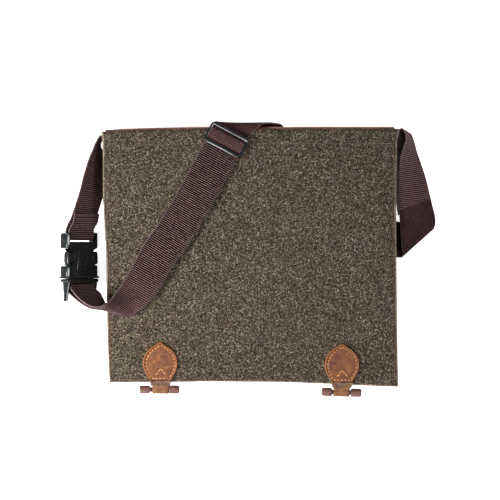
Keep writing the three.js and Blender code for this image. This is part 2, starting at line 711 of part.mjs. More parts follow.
// A leaf-shaped patch: round-shouldered, pointed at the top and cut straight at the bottom
function tabShape() {
  const length = 43;
  const widestY = 18;
  const widest = 19.4;
  const bottom = 12;
  const foot = { x: bottom + 2, y: 5 };
  const below = widestY - 9;
  const above = widestY + 15;
  const tip = { x: 8.6, y: length - 6 };
  const shape = new THREE.Shape();
  shape.moveTo(-bottom, 0);
  shape.lineTo(bottom, 0);
  shape.bezierCurveTo(foot.x, foot.y, widest, below, widest, widestY);
  shape.bezierCurveTo(widest, above, tip.x, tip.y, 0, length);
  shape.bezierCurveTo(-tip.x, tip.y, -widest, above, -widest, widestY);
  shape.bezierCurveTo(-widest, below, -foot.x, foot.y, -bottom, 0);
  return shape;
}

// A strap of leather that goes round a toggle, as a line in Y and Z about the toggle's middle
function loopLine() {
  const radius = TOGGLE_NECK_RADIUS + GAP + LEATHER / 2;
  const legEnd = 7.9;
  const points = [new THREE.Vector2(legEnd, radius), new THREE.Vector2(legEnd / 2, radius)];
  const arcSteps = 10;
  for (let i = 0; i <= arcSteps; i += 1) {
    const angle = Math.PI / 2 + Math.PI * (i / arcSteps);
    points.push(new THREE.Vector2(Math.cos(angle), Math.sin(angle)).multiplyScalar(radius));
  }
  points.push(new THREE.Vector2(legEnd / 2, -radius), new THREE.Vector2(legEnd, -radius));
  return points;
}

// A turned spool: a thin neck for the loop and a barrel with soft edges at each end
function toggleProfile() {
  const half = TOGGLE_LENGTH / 2;
  const barrelStart = half - TOGGLE_BARREL;
  const edge = 1.1;
  const side = [
    new THREE.Vector2(TOGGLE_NECK_RADIUS, 0),
    new THREE.Vector2(TOGGLE_NECK_RADIUS, barrelStart),
    new THREE.Vector2(TOGGLE_RADIUS - edge, barrelStart),
    new THREE.Vector2(TOGGLE_RADIUS, barrelStart + edge),
    new THREE.Vector2(TOGGLE_RADIUS, half - 1.5 * edge),
    new THREE.Vector2(TOGGLE_RADIUS - 0.4 * edge, half - 0.4 * edge),
    new THREE.Vector2(TOGGLE_RADIUS - 1.5 * edge, half),
    new THREE.Vector2(0, half),
  ];
  const mirrored = side.slice(1).map((point) => new THREE.Vector2(point.x, -point.y)).reverse();
  return [...mirrored, ...side];
}

// The two fastenings: the tab's place, the toggle's place and turn, and the loop's place along the toggle
const FASTENINGS = [
  { name: 'left', x: -97.3, edgeY: -132.7, toggleX: -98.6, toggleY: -143.8, loopX: 1.2, turn: 0 },
  { name: 'right', x: 103.9, edgeY: -134.6, toggleX: 103.6, toggleY: -146.9, loopX: 0, turn: -1.6 },
];
for (const { name, x, edgeY, toggleX, toggleY, loopX, turn } of FASTENINGS) {
  const leaf = new THREE.ExtrudeGeometry(tabShape(), {
    depth: TAB_THICKNESS,
    bevelEnabled: false,
    curveSegments: 10,
  });
  const tab = add(`tab_${name}`, closed(leaf), leather);
  tab.position.set(x, edgeY, flapFace(edgeY) + GAP);
  tab.rotation.x = rampTilt;

  const fastening = new THREE.Group();
  fastening.position.set(toggleX, toggleY, TOGGLE_Z);
  fastening.rotation.z = THREE.MathUtils.degToRad(turn);
  bag.add(fastening);

  const line = loopLine();
  add(`loop_${name}`, bent(2, line.length - 1, 1, (across, along, through) => {
    const i = Math.round(along * (line.length - 1));
    const spot = line[i].clone().addScaledVector(leftOf(line, i), LEATHER * (through - 0.5));
    return new THREE.Vector3(loopX + LOOP_WIDTH * (across - 0.5), spot.x, spot.y);
  }), paleLeather, fastening);

  const keeperLow = TOGGLE_NECK_RADIUS + LEATHER + 2.5 * GAP;
  const keeperNear = 4.6;
  const keeperFar = edgeY - toggleY - 2.5 * GAP;
  const keeper = roundedBlock(
    [loopX - KEEPER_WIDTH / 2, keeperNear, keeperLow],
    [loopX + KEEPER_WIDTH / 2, keeperFar, keeperLow + LEATHER],
    KEEPER_ROUND,
  );
  add(`keeper_${name}`, geometryOf(keeper), keeperLeather, fastening);

  const toggleSides = 18;
  const spool = closed(new THREE.LatheGeometry(toggleProfile(), toggleSides));
  const toggle = add(`toggle_${name}`, spool, toggleWood, fastening);
  toggle.rotation.z = Math.PI / 2;
}

export default bag;
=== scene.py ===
import math

import bmesh
import bpy
import numpy as np
from mathutils import Matrix, Vector


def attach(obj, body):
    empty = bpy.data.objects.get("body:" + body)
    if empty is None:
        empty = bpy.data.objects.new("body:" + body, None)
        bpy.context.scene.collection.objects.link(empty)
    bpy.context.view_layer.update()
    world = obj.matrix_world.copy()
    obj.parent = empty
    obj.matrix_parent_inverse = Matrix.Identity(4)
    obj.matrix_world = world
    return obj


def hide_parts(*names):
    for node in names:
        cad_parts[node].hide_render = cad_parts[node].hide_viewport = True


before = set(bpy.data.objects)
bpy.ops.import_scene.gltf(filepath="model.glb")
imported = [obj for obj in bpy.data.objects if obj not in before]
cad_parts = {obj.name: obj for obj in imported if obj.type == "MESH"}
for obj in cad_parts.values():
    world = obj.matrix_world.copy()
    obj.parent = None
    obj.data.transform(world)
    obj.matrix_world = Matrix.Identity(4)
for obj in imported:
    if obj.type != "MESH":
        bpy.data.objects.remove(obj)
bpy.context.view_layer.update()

# The studio: the bag lies on its back on a white table lit from beneath and is seen from straight above.
# A lamp stands low on the left, a second one hangs over the right side, a third one stands before the bag,
# and the walls are dim. The glow from beneath keeps the table white in the bag's shadow.
MM = 0.001
CAMERA_PLACE = (2.0, 11.3, 2187.0)
CAMERA_LENS = 140.7
SENSOR = 36.0
FLOOR_SIZE = 9000.0
FLOOR_LEVEL = -0.3
FLOOR_GLOW = 0.85


def linear(hex_colour):
    """An sRGB hex colour as linear red, green, blue and a full alpha."""
    channels = [int(hex_colour[i:i + 2], 16) / 255 for i in (1, 3, 5)]
    straight = [c / 12.92 if c <= 0.04045 else ((c + 0.055) / 1.055) ** 2.4 for c in channels]
    return (*straight, 1.0)


def per_metre(size):
    """How many features of a size in millimetres fit in a metre, as textures take their scale."""
    return 1 / (size * MM)


def add_node(material, kind, links=None, stops=None, **settings):
    """Adds one node. links gives its inputs a value, a node or one of its outputs, stops a ramp's colours."""
    made = material.node_tree.nodes.new(kind)
    for name, value in settings.items():
        setattr(made, name, value)
    for name, value in (links or {}).items():
        if isinstance(value, bpy.types.Node):
            value = value.outputs[0]
        if isinstance(value, bpy.types.NodeSocket):
            material.node_tree.links.new(value, made.inputs[name])
        else:
            made.inputs[name].default_value = value
    if stops:
        elements = made.color_ramp.elements
        elements.remove(elements[-1])
        elements[0].position = stops[0][0]
        elements[0].color = linear(stops[0][1])
        for share, colour in stops[1:]:
            elements.new(share).color = linear(colour)
    return made


def bare_material(name):
    material = bpy.data.materials.new(name)
    material.use_nodes = True
    material.node_tree.nodes.clear()
    return material


def finish_material(material, shader):
    add_node(material, "ShaderNodeOutputMaterial", {"Surface": shader})
    return material


scene = bpy.context.scene
scene.view_settings.view_transform = "Standard"

camera_data = bpy.data.cameras.new("camera")
camera_data.lens = CAMERA_LENS
camera_data.sensor_width = SENSOR
camera = bpy.data.objects.new("camera", camera_data)
camera.location = Vector(CAMERA_PLACE) * MM
scene.collection.objects.link(camera)
scene.camera = camera

# The lamps: place in millimetres, what each is turned to, edge length, cone in degrees and power in watts
LAMPS = [
    ("lamp_left", (-760, -200, 480), (-40, -45, 0), 320, 90, 4.5),
    ("lamp_right", (907, -30, 1900), (-40, 0, 0), 500, 180, 20),
    ("lamp_front", (-834, -1682, 1793), (-30, 60, 0), 480, 180, 36),
]
for lamp_name, lamp_place, lamp_target, lamp_size, lamp_cone, lamp_power in LAMPS:
    lamp_data = bpy.data.lights.new(lamp_name, "AREA")
    lamp_data.energy = lamp_power
    lamp_data.size = lamp_size * MM
    lamp_data.spread = math.radians(lamp_cone)
    lamp = bpy.data.objects.new(lamp_name, lamp_data)
    lamp.location = Vector(lamp_place) * MM
    lamp_heading = Vector(lamp_target) - Vector(lamp_place)
    lamp.rotation_euler = lamp_heading.to_track_quat("-Z", "Y").to_euler()
    scene.collection.objects.link(lamp)

world = bpy.data.worlds.new("studio_walls")
world.use_nodes = True
world.node_tree.nodes.clear()
sky_place = add_node(world, "ShaderNodeTexCoord").outputs["Generated"]
wall_axes = add_node(world, "ShaderNodeSeparateXYZ", {0: sky_place})
wall_side = add_node(world, "ShaderNodeMapRange", {"Value": wall_axes.outputs[0], "From Min": -1.0})
wall_tone = add_node(world, "ShaderNodeValToRGB", {"Fac": wall_side}, [
    (0.0, "#5c5e63"), (0.3, "#606163"), (1.0, "#606060"),
])
sky = add_node(world, "ShaderNodeBackground", {"Color": wall_tone, "Strength": 1.4})
add_node(world, "ShaderNodeOutputWorld", {"Surface": sky})
scene.world = world

# Opal acrylic sheet, matt and nearly white, lit from beneath
opal = bare_material("acrylic_opal_lit_from_beneath")
opal_place = add_node(opal, "ShaderNodeTexCoord").outputs["Object"]
opal_tooth = add_node(opal, "ShaderNodeTexNoise", {"Vector": opal_place, "Scale": per_metre(4)})
opal_relief = add_node(opal, "ShaderNodeBump", {"Height": opal_tooth, "Distance": 0.1 * MM})
finish_material(opal, add_node(opal, "ShaderNodeBsdfPrincipled", {
    "Base Color": linear("#fbfbfb"),
    "Roughness": 0.9,
    "Emission Color": linear("#ffffff"),
    "Emission Strength": FLOOR_GLOW,
    "Normal": opal_relief,
}))
floor_edge = FLOOR_SIZE / 2 * MM
floor_mesh = bpy.data.meshes.new("floor")
floor_mesh.from_pydata(
    [(x * floor_edge, y * floor_edge, FLOOR_LEVEL * MM) for x, y in ((-1, -1), (1, -1), (1, 1), (-1, 1))],
    [],
    [(0, 1, 2, 3)],
)
floor_mesh.materials.append(opal)
floor = bpy.data.objects.new("floor", floor_mesh)
scene.collection.objects.link(floor)

# The body: a back panel on the floor, a front panel and a strip of felt between them round the left side,
# the bottom and the right side. All are cut from pressed wool felt 3 mm thick and sewn edge to edge,
# and the back panel rides over the strap that lies beneath it.
FELT = 3.0
GAP = 0.3
BODY_BOTTOM = -131.0
MOUTH = 118.0
BACK_TOP = 143.8
RAMP_BOTTOM = -135.0
RAMP_SLOPE = 28 / 275
DEPTH_BOTTOM = 17.0
FLAP_CLEARANCE = 0.4
OVERHANG_LEFT = 2.4
OVERHANG_RIGHT = 2.0
CORNER = 10.0
FELT_EDGE = 1.1
FELT_ROUNDING = 0.8
FELT_SETTLE = 0.2
FINE_TOOTH = 0.11
FINE_TOOTH_SIZE = 3.1
BROAD_TOOTH = 0.07
BROAD_TOOTH_SIZE = 7.3
PANEL_WIDTH = 320.0
PANEL_STEP = 4.0
STRAP_DENT = 2.4
DENT_CORE = 34.0
DENT_FADE = 18.0

# The flap's side edges: y, left, right
FLAP_SIDES = np.array([
    (-140, -154.0, 166.6),
    (-88, -156.0, 165.0),
    (7, -156.6, 163.4),
    (66, -159.6, 162.3),
    (128, -159.2, 163.0),
    (146, -160.8, 166.0),
])

# The middle of the strap under the bag: x, y, z
UNDER_BAG = np.array([
    (161, 24, 0),
    (131, 27, 0),
    (102, 36, 0),
    (77, 53, 0),
    (58, 76, 0),
    (40, 106, 0),
    (18, 146, 0),
], float)
FOLD_MIDDLE = (190, 20, 0)


def curve(points, per_span):
    """A smooth line through points, with the same number of steps in every span."""
    points = np.asarray(points, float)
    guides = np.vstack([2 * points[0] - points[1], points, 2 * points[-1] - points[-2]])
    share = np.linspace(0, 1, per_span, endpoint=False)[:, None]
    line = []
    for before, start, end, after in zip(guides, guides[1:], guides[2:], guides[3:]):
        span = np.linalg.norm(end - start) ** 0.5
        span_before = np.linalg.norm(start - before) ** 0.5
        span_after = np.linalg.norm(after - end) ** 0.5
        leave = (start - before) / span_before - (end - before) / (span_before + span) + (end - start) / span
        reach = (end - start) / span - (after - start) / (span + span_after) + (after - end) / span_after
        leave = leave * span
        reach = reach * span
        cubic = 2 * start - 2 * end + leave + reach
        square = 3 * end - 3 * start - 2 * leave - reach
        line.append(start + leave * share + square * share ** 2 + cubic * share ** 3)
    line.append(points[-1:])
    return np.vstack(line)


def smooth_step(value):
    value = np.clip(value, 0, 1)
    return value * value * (3 - 2 * value)


def ripple(x, y, size, seed):
    """Soft random hills from -1 to 1, about one size apart, the same on every run."""
    cells = 97
    lattice = np.random.default_rng(seed).uniform(-1, 1, (cells, cells))
    column = np.floor(x / size).astype(int)
    row = np.floor(y / size).astype(int)
    right = smooth_step(x / size - column)
    up = smooth_step(y / size - row)

    def at(step_x, step_y):
        return lattice[(row + step_y) % cells, (column + step_x) % cells]

    low = at(0, 0) * (1 - right) + at(1, 0) * right
    high = at(0, 1) * (1 - right) + at(1, 1) * right
    return low * (1 - up) + high * up


def edge_shares(length, step, rim):
    """Shares along a length, evenly spaced inside and closer together at both rims."""
    inner = np.linspace(rim, length - rim, max(2, round((length - 2 * rim) / step) + 1))
    near = np.array([0, 0.12, 0.45]) * rim
    return np.concatenate([near, inner, length - near[::-1]]) / length


def rim_drop(distance, rim):
    """How far a soft edge falls away, from 1 at the very edge to 0 one rim inside it."""
    inside = np.clip(distance / rim, 0, 1)
    return 1 - np.sqrt(1 - (1 - inside) ** 2)


def grid(*values):
    """Points or pairs of a grid from their coordinates, each spread over the whole grid."""
    return np.stack(np.broadcast_arrays(*values), -1)


def new_mesh(name, points, faces, materials, smooth=True):
    """A mesh of points in millimetres."""
    mesh = bpy.data.meshes.new(name)
    mesh.from_pydata((points * MM).tolist(), [], faces)
    for material in materials:
        mesh.materials.append(material)
    mesh.polygons.foreach_set("use_smooth", np.full(len(faces), smooth))
    return mesh


def slab(name, top, bottom, materials, maps=None, rim_quads=0):
    """A closed sheet between two grids of points in millimetres.

    The last material goes on its rim, and on a number of quads along its first row and its sides.
    maps gives grids of pairs, such as millimetres along the sheet, by the names that materials read them by.
    """
    rows, columns = top.shape[:2]
    count = rows * columns
    points = np.concatenate([top.reshape(-1, 3), bottom.reshape(-1, 3)])
    upper = np.arange(count).reshape(rows, columns)
    lower = upper + count

    def quads(first, second, third, fourth):
        return np.stack([first, second, third, fourth], -1).reshape(-1, 4)

    faces = [
        quads(upper[:-1, :-1], upper[:-1, 1:], upper[1:, 1:], upper[1:, :-1]),
        quads(lower[:-1, :-1], lower[1:, :-1], lower[1:, 1:], lower[:-1, 1:]),
        quads(upper[0, 1:], upper[0, :-1], lower[0, :-1], lower[0, 1:]),
        quads(upper[-1, :-1], upper[-1, 1:], lower[-1, 1:], lower[-1, :-1]),
        quads(upper[:-1, 0], upper[1:, 0], lower[1:, 0], lower[:-1, 0]),
        quads(upper[1:, -1], upper[:-1, -1], lower[:-1, -1], lower[1:, -1]),
    ]
    sides = len(faces[0]) + len(faces[1])
    faces = np.concatenate(faces)
    corners = points[faces]
    volume = np.sum(corners[:, 0] * np.cross(corners[:, 1], corners[:, 2]))
    if volume < 0:
        faces = faces[:, ::-1]
    mesh = new_mesh(name, points, faces.tolist(), materials)
    index = np.zeros(len(faces), np.int32)
    index[sides:] = len(materials) - 1
    if rim_quads:
        near_rim = np.ones((rows - 1, columns - 1), bool)
        near_rim[rim_quads:, rim_quads:-rim_quads] = False
        index[:sides][np.tile(near_rim.ravel(), 2)] = len(materials) - 1
    mesh.polygons.foreach_set("material_index", index)
    for map_name, pairs in (maps or {}).items():
        both = np.concatenate([pairs.reshape(-1, 2)] * 2)
        mesh.uv_layers.new(name=map_name).data.foreach_set("uv", both[faces.ravel()].ravel())
    mesh.update()
    return mesh


def place_piece(mesh, slot, *nodes):
    """Puts a mesh in the scene as a piece on the bag, in the place of the nodes that it stands for."""
    piece = bpy.data.objects.new(mesh.name, mesh)
    scene.collection.objects.link(piece)
    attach(piece, "root")
    if nodes:
        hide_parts(*nodes)
    return piece


def flap_left(y):
    return np.interp(y, FLAP_SIDES[:, 0], FLAP_SIDES[:, 1])


def flap_right(y):
    return np.interp(y, FLAP_SIDES[:, 0], FLAP_SIDES[:, 2])


def front_face(y):
    """Height of the front panel's outer face, which slopes down from the mouth to the bottom seam."""
    return DEPTH_BOTTOM + RAMP_SLOPE * (y - RAMP_BOTTOM)


def flap_face(y):
    return front_face(y) + FLAP_CLEARANCE + FELT


under_line = np.vstack([curve(UNDER_BAG, 8), FOLD_MIDDLE])


def strap_lift(x, y):
    """How far the strap beneath lifts the back panel."""
    nearest = np.full(np.shape(x), np.inf)
    for spot in under_line:
        nearest = np.minimum(nearest, np.hypot(x - spot[0], y - spot[1]))
    return STRAP_DENT * (1 - smooth_step((nearest - DENT_CORE) / DENT_FADE))


# Pressed wool felt: undyed fibres of several browns rolled together, so the eye sees worm-like flecks
# of cream, olive and dark brown, broad patches that lean to olive or mauve, and no gloss at all
FLECK = 1.6
FIBRE = 0.8
TINT = 3.2
PATCH = 24.0


def felt_material(name, flecks, patches):
    felt = bare_material(name)
    place = add_node(felt, "ShaderNodeTexCoord").outputs["Object"]
    fleck_noise = add_node(felt, "ShaderNodeTexNoise", {
        "Vector": place,
        "Scale": per_metre(FLECK),
        "Detail": 2.0,
        "Roughness": 0.6,
        "Distortion": 1.2,
    })
    fleck_colour = add_node(felt, "ShaderNodeValToRGB", {"Fac": fleck_noise}, flecks)
    fibre_noise = add_node(felt, "ShaderNodeTexNoise", {
        "Vector": place,
        "Scale": per_metre(FIBRE),
        "Detail": 3.0,
        "Distortion": 0.8,
    })
    fibre_shade = add_node(felt, "ShaderNodeValToRGB", {"Fac": fibre_noise}, [
        (0.34, "#6e6e6e"), (0.66, "#969696"),
    ])
    patch_noise = add_node(felt, "ShaderNodeTexNoise", {
        "Vector": place,
        "Scale": per_metre(PATCH),
        "Detail": 3.0,
    })
    patch_colour = add_node(felt, "ShaderNodeValToRGB", {"Fac": patch_noise}, patches)
    tint_noise = add_node(felt, "ShaderNodeTexNoise", {
        "Vector": place,
        "Scale": per_metre(TINT),
        "Detail": 2.0,
    })
    patched = add_node(felt, "ShaderNodeMix", {
        0: 0.65,
        6: fleck_colour,
        7: patch_colour,
    }, data_type="RGBA", blend_type="SOFT_LIGHT")
    tinted = add_node(felt, "ShaderNodeMix", {
        0: 0.3,
        6: patched.outputs[2],
        7: tint_noise.outputs[1],
    }, data_type="RGBA", blend_type="SOFT_LIGHT")
    coloured = add_node(felt, "ShaderNodeMix", {
        0: 0.85,
        6: tinted.outputs[2],
        7: fibre_shade,
    }, data_type="RGBA", blend_type="OVERLAY")
    heights = add_node(felt, "ShaderNodeMath", {0: fleck_noise, 1: fibre_noise}, operation="ADD")
    relief = add_node(felt, "ShaderNodeBump", {"Height": heights, "Strength": 0.75, "Distance": 0.7 * MM})
    return finish_material(felt, add_node(felt, "ShaderNodeBsdfPrincipled", {
        "Base Color": coloured.outputs[2],
        "Roughness": 0.95,
        "Specular IOR Level": 0.1,
        "Sheen Weight": 0.06,
        "Sheen Roughness": 0.6,
        "Normal": relief,
    }))


felt_flecks = [
    (0.33, "#120c07"), (0.42, "#362c21"), (0.50, "#584c3e"), (0.58, "#7a6d5c"), (0.67, "#b0a391"),
]
felt_patches = [(0.34, "#7f7659"), (0.45, "#7a7064"), (0.55, "#837464"), (0.66, "#85767b")]
wool_felt = felt_material("wool_felt_pressed", felt_flecks, felt_patches)

# The cut edge of the felt and the rim beside it, painted paler: partly frayed fibres that stand out,
# partly a painted highlight where the edge catches the light
edge_highlight_flecks = [(0.34, "#5f5346"), (0.50, "#9c8f7e"), (0.66, "#cfc3b0")]
cut_felt_painted_highlight = felt_material("wool_felt_cut_edge_painted_highlight", edge_highlight_flecks, felt_patches)


def body_left(y):
    return flap_left(y) + OVERHANG_LEFT


def body_right(y):
    return flap_right(y) - OVERHANG_RIGHT


def corner_inset(y):
    rise = np.clip(y - BODY_BOTTOM, 0, CORNER)
    return CORNER - np.sqrt(CORNER ** 2 - (CORNER - rise) ** 2)


def panel_grid(top_edge):
    """Rows of a body panel from its bottom to its top edge, with the distance from the nearest edge."""
    length = top_edge - BODY_BOTTOM
    along = edge_shares(length, PANEL_STEP, FELT_EDGE)
    corner_rows = CORNER * np.linspace(0.02, 1, 8) ** 2 / length
    along = np.unique(np.concatenate([along, corner_rows]))
    across = edge_shares(PANEL_WIDTH, PANEL_STEP, FELT_EDGE)
    y = BODY_BOTTOM + length * along[:, None]
    left = body_left(y) + corner_inset(y)
    right = body_right(y) - corner_inset(y)
    x = left + (right - left) * across[None, :]
    side = np.minimum(x - left, right - x)
    end = np.minimum(y - BODY_BOTTOM, top_edge - y)
    return x, y, np.minimum(side, end)


def felt_tooth(x, y, seed):
    """The uneven surface of pressed felt: hills of a few millimetres under a fifth of one high."""
    fine = FINE_TOOTH * ripple(x, y, FINE_TOOTH_SIZE, seed)
    return fine + BROAD_TOOTH * ripple(x, y, BROAD_TOOTH_SIZE, seed + 1)


def panel_piece(name, top_edge, low_face, seed):
    x, y, inside = panel_grid(top_edge)
    soft = FELT_ROUNDING * rim_drop(inside, FELT_EDGE)
    low = low_face(x, y)
    top = grid(x, y, low + FELT - soft - FELT_SETTLE + felt_tooth(x, y, seed))
    bottom = grid(x, y, low + soft)
    return place_piece(slab(name + "_felt", top, bottom, [wool_felt, cut_felt_painted_highlight]), "felt", name)


back_panel = panel_piece("back_panel", BACK_TOP, strap_lift, 11)
front_panel = panel_piece("front_panel", MOUTH, lambda x, y: front_face(y) - FELT, 21)


def unit(rows):
    return rows / np.linalg.norm(rows, axis=-1)[..., None]


def distances(line):
    """How far along a line each of its points lies."""
    return np.r_[0, np.cumsum(np.linalg.norm(np.diff(line, axis=0), axis=1))]


# The gusset's line seen from above, down the left side, along the bottom and up the right side
GUSSET_STEP = 4.0
GUSSET_DEPTH = 30.0
arc_y = BODY_BOTTOM + CORNER
side_y = np.linspace(MOUTH, arc_y, round((MOUTH - arc_y) / GUSSET_STEP))
arc_turn = np.linspace(0, math.pi / 2, 8)[1:-1]
arc_left = body_left(arc_y) + CORNER
arc_right = body_right(arc_y) - CORNER
bottom_x = np.linspace(arc_left, arc_right, round((arc_right - arc_left) / GUSSET_STEP))
gusset_line = np.vstack([
    np.column_stack([body_left(side_y), side_y]),
    np.column_stack([arc_left - CORNER * np.cos(arc_turn), arc_y - CORNER * np.sin(arc_turn)]),
    np.column_stack([bottom_x, np.full(len(bottom_x), BODY_BOTTOM)]),
    np.column_stack([arc_right + CORNER * np.sin(arc_turn), arc_y - CORNER * np.cos(arc_turn)]),
    np.column_stack([body_right(side_y[::-1]), side_y[::-1]]),
])
gusset_run = unit(np.gradient(gusset_line, axis=0))
gusset_inward = np.column_stack([-gusset_run[:, 1], gusset_run[:, 0]])
gusset_distance = distances(gusset_line)


def gusset_wall(depth, relief):
    """Points of the gusset's face at a depth inward from its outer line."""
    spot = gusset_line + gusset_inward * depth
    low = FELT + 2 * GAP + strap_lift(spot[:, 0], spot[:, 1])
    high = front_face(spot[:, 1]) - FELT - GAP
    share = edge_shares(GUSSET_DEPTH, GUSSET_STEP, FELT_EDGE)[None, :]
    z = low[:, None] + (high - low)[:, None] * share
    push = relief * felt_tooth(gusset_distance[:, None], z, 31)
    x = spot[:, :1] + gusset_inward[:, :1] * push
    y = spot[:, 1:] + gusset_inward[:, 1:] * push
    return grid(x, y, z)


gusset = place_piece(
    slab("gusset_felt", gusset_wall(FELT_SETTLE, 1), gusset_wall(FELT, 0), [wool_felt, cut_felt_painted_highlight]),
    "felt",
    "gusset",
)

# The top band: a strip of smooth orange-brown leather, folded over the mouth.
# One leg lies under the flap's top edge, the other on the back panel, and its fold shows as a thin line.
LEATHER = 1.8
BAND_LEG = 23.0
BAND_OUT = 1.6
BAND_MARGIN = 0.4
BAND_COLUMNS = 90
BAND_WAVE = 0.12
BAND_WAVE_SIZE = 17.0

# The flap's top and bottom edges: x, top, bottom
FLAP_ENDS = np.array([
    (-160, 141, -135.8),
    (-100, 143.3, -135.5),
    (-55, 144.1, -134.8),
    (35, 144, -135.3),
    (92, 144.2, -137.4),
    (161, 144.2, -140.4),
    (164, 143.6, -140.5),
    (166, 141.9, -140.6),
])


def flap_top(x):
    return np.interp(x, FLAP_ENDS[:, 0], FLAP_ENDS[:, 1])


def flap_bottom(x):
    return np.interp(x, FLAP_ENDS[:, 0], FLAP_ENDS[:, 2])


# The band's section: distance back from the fold, level from the back panel (0) to the flap (1)
BAND_SECTION = np.array([
    (BAND_LEG, 1),
    (16, 1),
    (9, 1),
    (4, 1),
    (1.8, 0.985),
    (0.5, 0.95),
    (0, 0.9),
    (0, 0.7),
    (0, 0.5),
    (0, 0.3),
    (0, 0.1),
    (0.5, 0.05),
    (1.8, 0.015),
    (4, 0),
    (12, 0),
    (BAND_LEG, 0),
])


# Vegetable-tanned leather, waxed: warm orange-brown with darker pores and a soft shine
def leather_material(name, tones, grain, roughness, relief_depth):
    leather = bare_material(name)
    place = add_node(leather, "ShaderNodeTexCoord").outputs["Object"]
    cloud = add_node(leather, "ShaderNodeTexNoise", {
        "Vector": place,
        "Scale": per_metre(6 * grain),
        "Detail": 4.0,
        "Roughness": 0.6,
        "Distortion": 0.6,
    })
    colour = add_node(leather, "ShaderNodeValToRGB", {"Fac": cloud}, tones)
    pores = add_node(leather, "ShaderNodeTexVoronoi", {"Vector": place, "Scale": per_metre(grain)})
    wrinkles = add_node(leather, "ShaderNodeTexNoise", {
        "Vector": place,
        "Scale": per_metre(1.8 * grain),
        "Detail": 4.0,
        "Distortion": 1.2,
    })
    heights = add_node(leather, "ShaderNodeMath", {0: pores, 1: wrinkles}, operation="ADD")
    relief = add_node(leather, "ShaderNodeBump", {
        "Height": heights,
        "Strength": 0.6,
        "Distance": relief_depth * MM,
    })
    shine = add_node(leather, "ShaderNodeMapRange", {
        "Value": cloud,
        "To Min": roughness - 0.1,
        "To Max": roughness + 0.12,
    })
    return finish_material(leather, add_node(leather, "ShaderNodeBsdfPrincipled", {
        "Base Color": colour,
        "Roughness": shine,
        "IOR": 1.48,
        "Normal": relief,
    }))


band_leather = leather_material(
    "leather_waxed_orange_brown",
    [(0.32, "#5a3013"), (0.50, "#82481e"), (0.68, "#9a6132")],
    grain=1.0,
    roughness=0.5,
    relief_depth=0.2,
)
band_x = np.linspace(body_left(MOUTH) + BAND_MARGIN, body_right(MOUTH) - BAND_MARGIN, BAND_COLUMNS)


def band_face(side):
    """One face of the band, half a leather's thickness to a side of its middle line."""
    x = band_x[:, None]
    y = flap_top(x) + BAND_OUT - BAND_SECTION[None, :, 0]
    low = FELT + 2 * GAP + LEATHER / 2 + strap_lift(x, y)
    high = front_face(y) - LEATHER / 2
    z = low + (high - low) * BAND_SECTION[None, :, 1]
    run = unit(np.gradient(grid(y, z), axis=1))
    out = side * LEATHER / 2
    wave = BAND_WAVE * ripple(x, z, BAND_WAVE_SIZE, 41)
    return grid(x, y - run[..., 1] * (out + wave), z + run[..., 0] * out)


band_mesh = slab("top_band_leather", band_face(1), band_face(-1), [band_leather])
place_piece(band_mesh, "brown_leather", "top_band")

# The flap: one sheet of the same felt over the whole front, cut square and sewn to the band at its top.
# Its cut edges are painted paler, partly fraying and partly a painted highlight, and a row of lockstitches
# runs inside each of them.
FLAP_WIDTH = 322.0
FLAP_LENGTH = 281.0
FLAP_GRID = 1.8
FLAP_EDGE = 1.8
FLAP_ROUNDING = 1.1
FLAP_SETTLE = 0.15
SEAM_INSET = 3.4
TOP_SEAM_INSET = 16.5
SEAM_DENT = 0.45
SEAM_DENT_WIDTH = 1.3
SWELL = 0.8
SWELL_SIZE = 74.0
SWELL_FADE = 40.0
TOP_FADE = 60.0
SLIDER_CENTRE = np.array([-23.7, 132.5])
STRAP_END = np.array([-121.0, -33.0])
STRAP_CLEAR = 24.0
TABS_CLEAR = 46.0


def flap_spots(across, along):
    """Places on the flap for shares across it and from its bottom to its top edge."""
    middle_y = BODY_BOTTOM + (MOUTH - BODY_BOTTOM) * along
    guess_x = flap_left(middle_y) + (flap_right(middle_y) - flap_left(middle_y)) * across
    y = flap_bottom(guess_x) + (flap_top(guess_x) - flap_bottom(guess_x)) * along
    x = flap_left(y) + (flap_right(y) - flap_left(y)) * across
    return x, y


def flap_inside(x, y):
    """Distances from the left, right, top and bottom edges of the flap."""
    return x - flap_left(y), flap_right(y) - x, flap_top(x) - y, y - flap_bottom(x)


def segment_distance(x, y, start, end):
    """Distance of places from a straight line between two points."""
    run = end - start
    share = np.clip(((x - start[0]) * run[0] + (y - start[1]) * run[1]) / max(run @ run, 1e-9), 0, 1)
    return np.hypot(x - start[0] - share * run[0], y - start[1] - share * run[1])


def flap_swell(x, y):
    """The flap's slow waves, kept flat under the strap, at the leather tabs and along the top."""
    off_strap = segment_distance(x, y, SLIDER_CENTRE, STRAP_END) - STRAP_CLEAR
    off_tabs = y - flap_bottom(x) - TABS_CLEAR
    free = smooth_step(off_strap / SWELL_FADE) * smooth_step(off_tabs / SWELL_FADE)
    free = free * smooth_step((flap_top(x) - y) / TOP_FADE)
    return SWELL * free * (0.5 + 0.5 * ripple(x, y, SWELL_SIZE, 51))


def flap_height(x, y):
    """Height of the flap's outer face, with its tooth, its soft rim and the dents of its seams."""
    left, right, top, bottom = flap_inside(x, y)
    rim = np.minimum.reduce([left, right, top, bottom])
    dents = 0
    for distance in (left - SEAM_INSET, right - SEAM_INSET, bottom - SEAM_INSET, top - TOP_SEAM_INSET):
        dents = np.maximum(dents, np.exp(-(distance / SEAM_DENT_WIDTH) ** 2))
    tooth = felt_tooth(x, y, 52) - FLAP_SETTLE
    soft = FLAP_ROUNDING * rim_drop(rim, FLAP_EDGE)
    return flap_face(y) + flap_swell(x, y) + tooth - SEAM_DENT * dents - soft


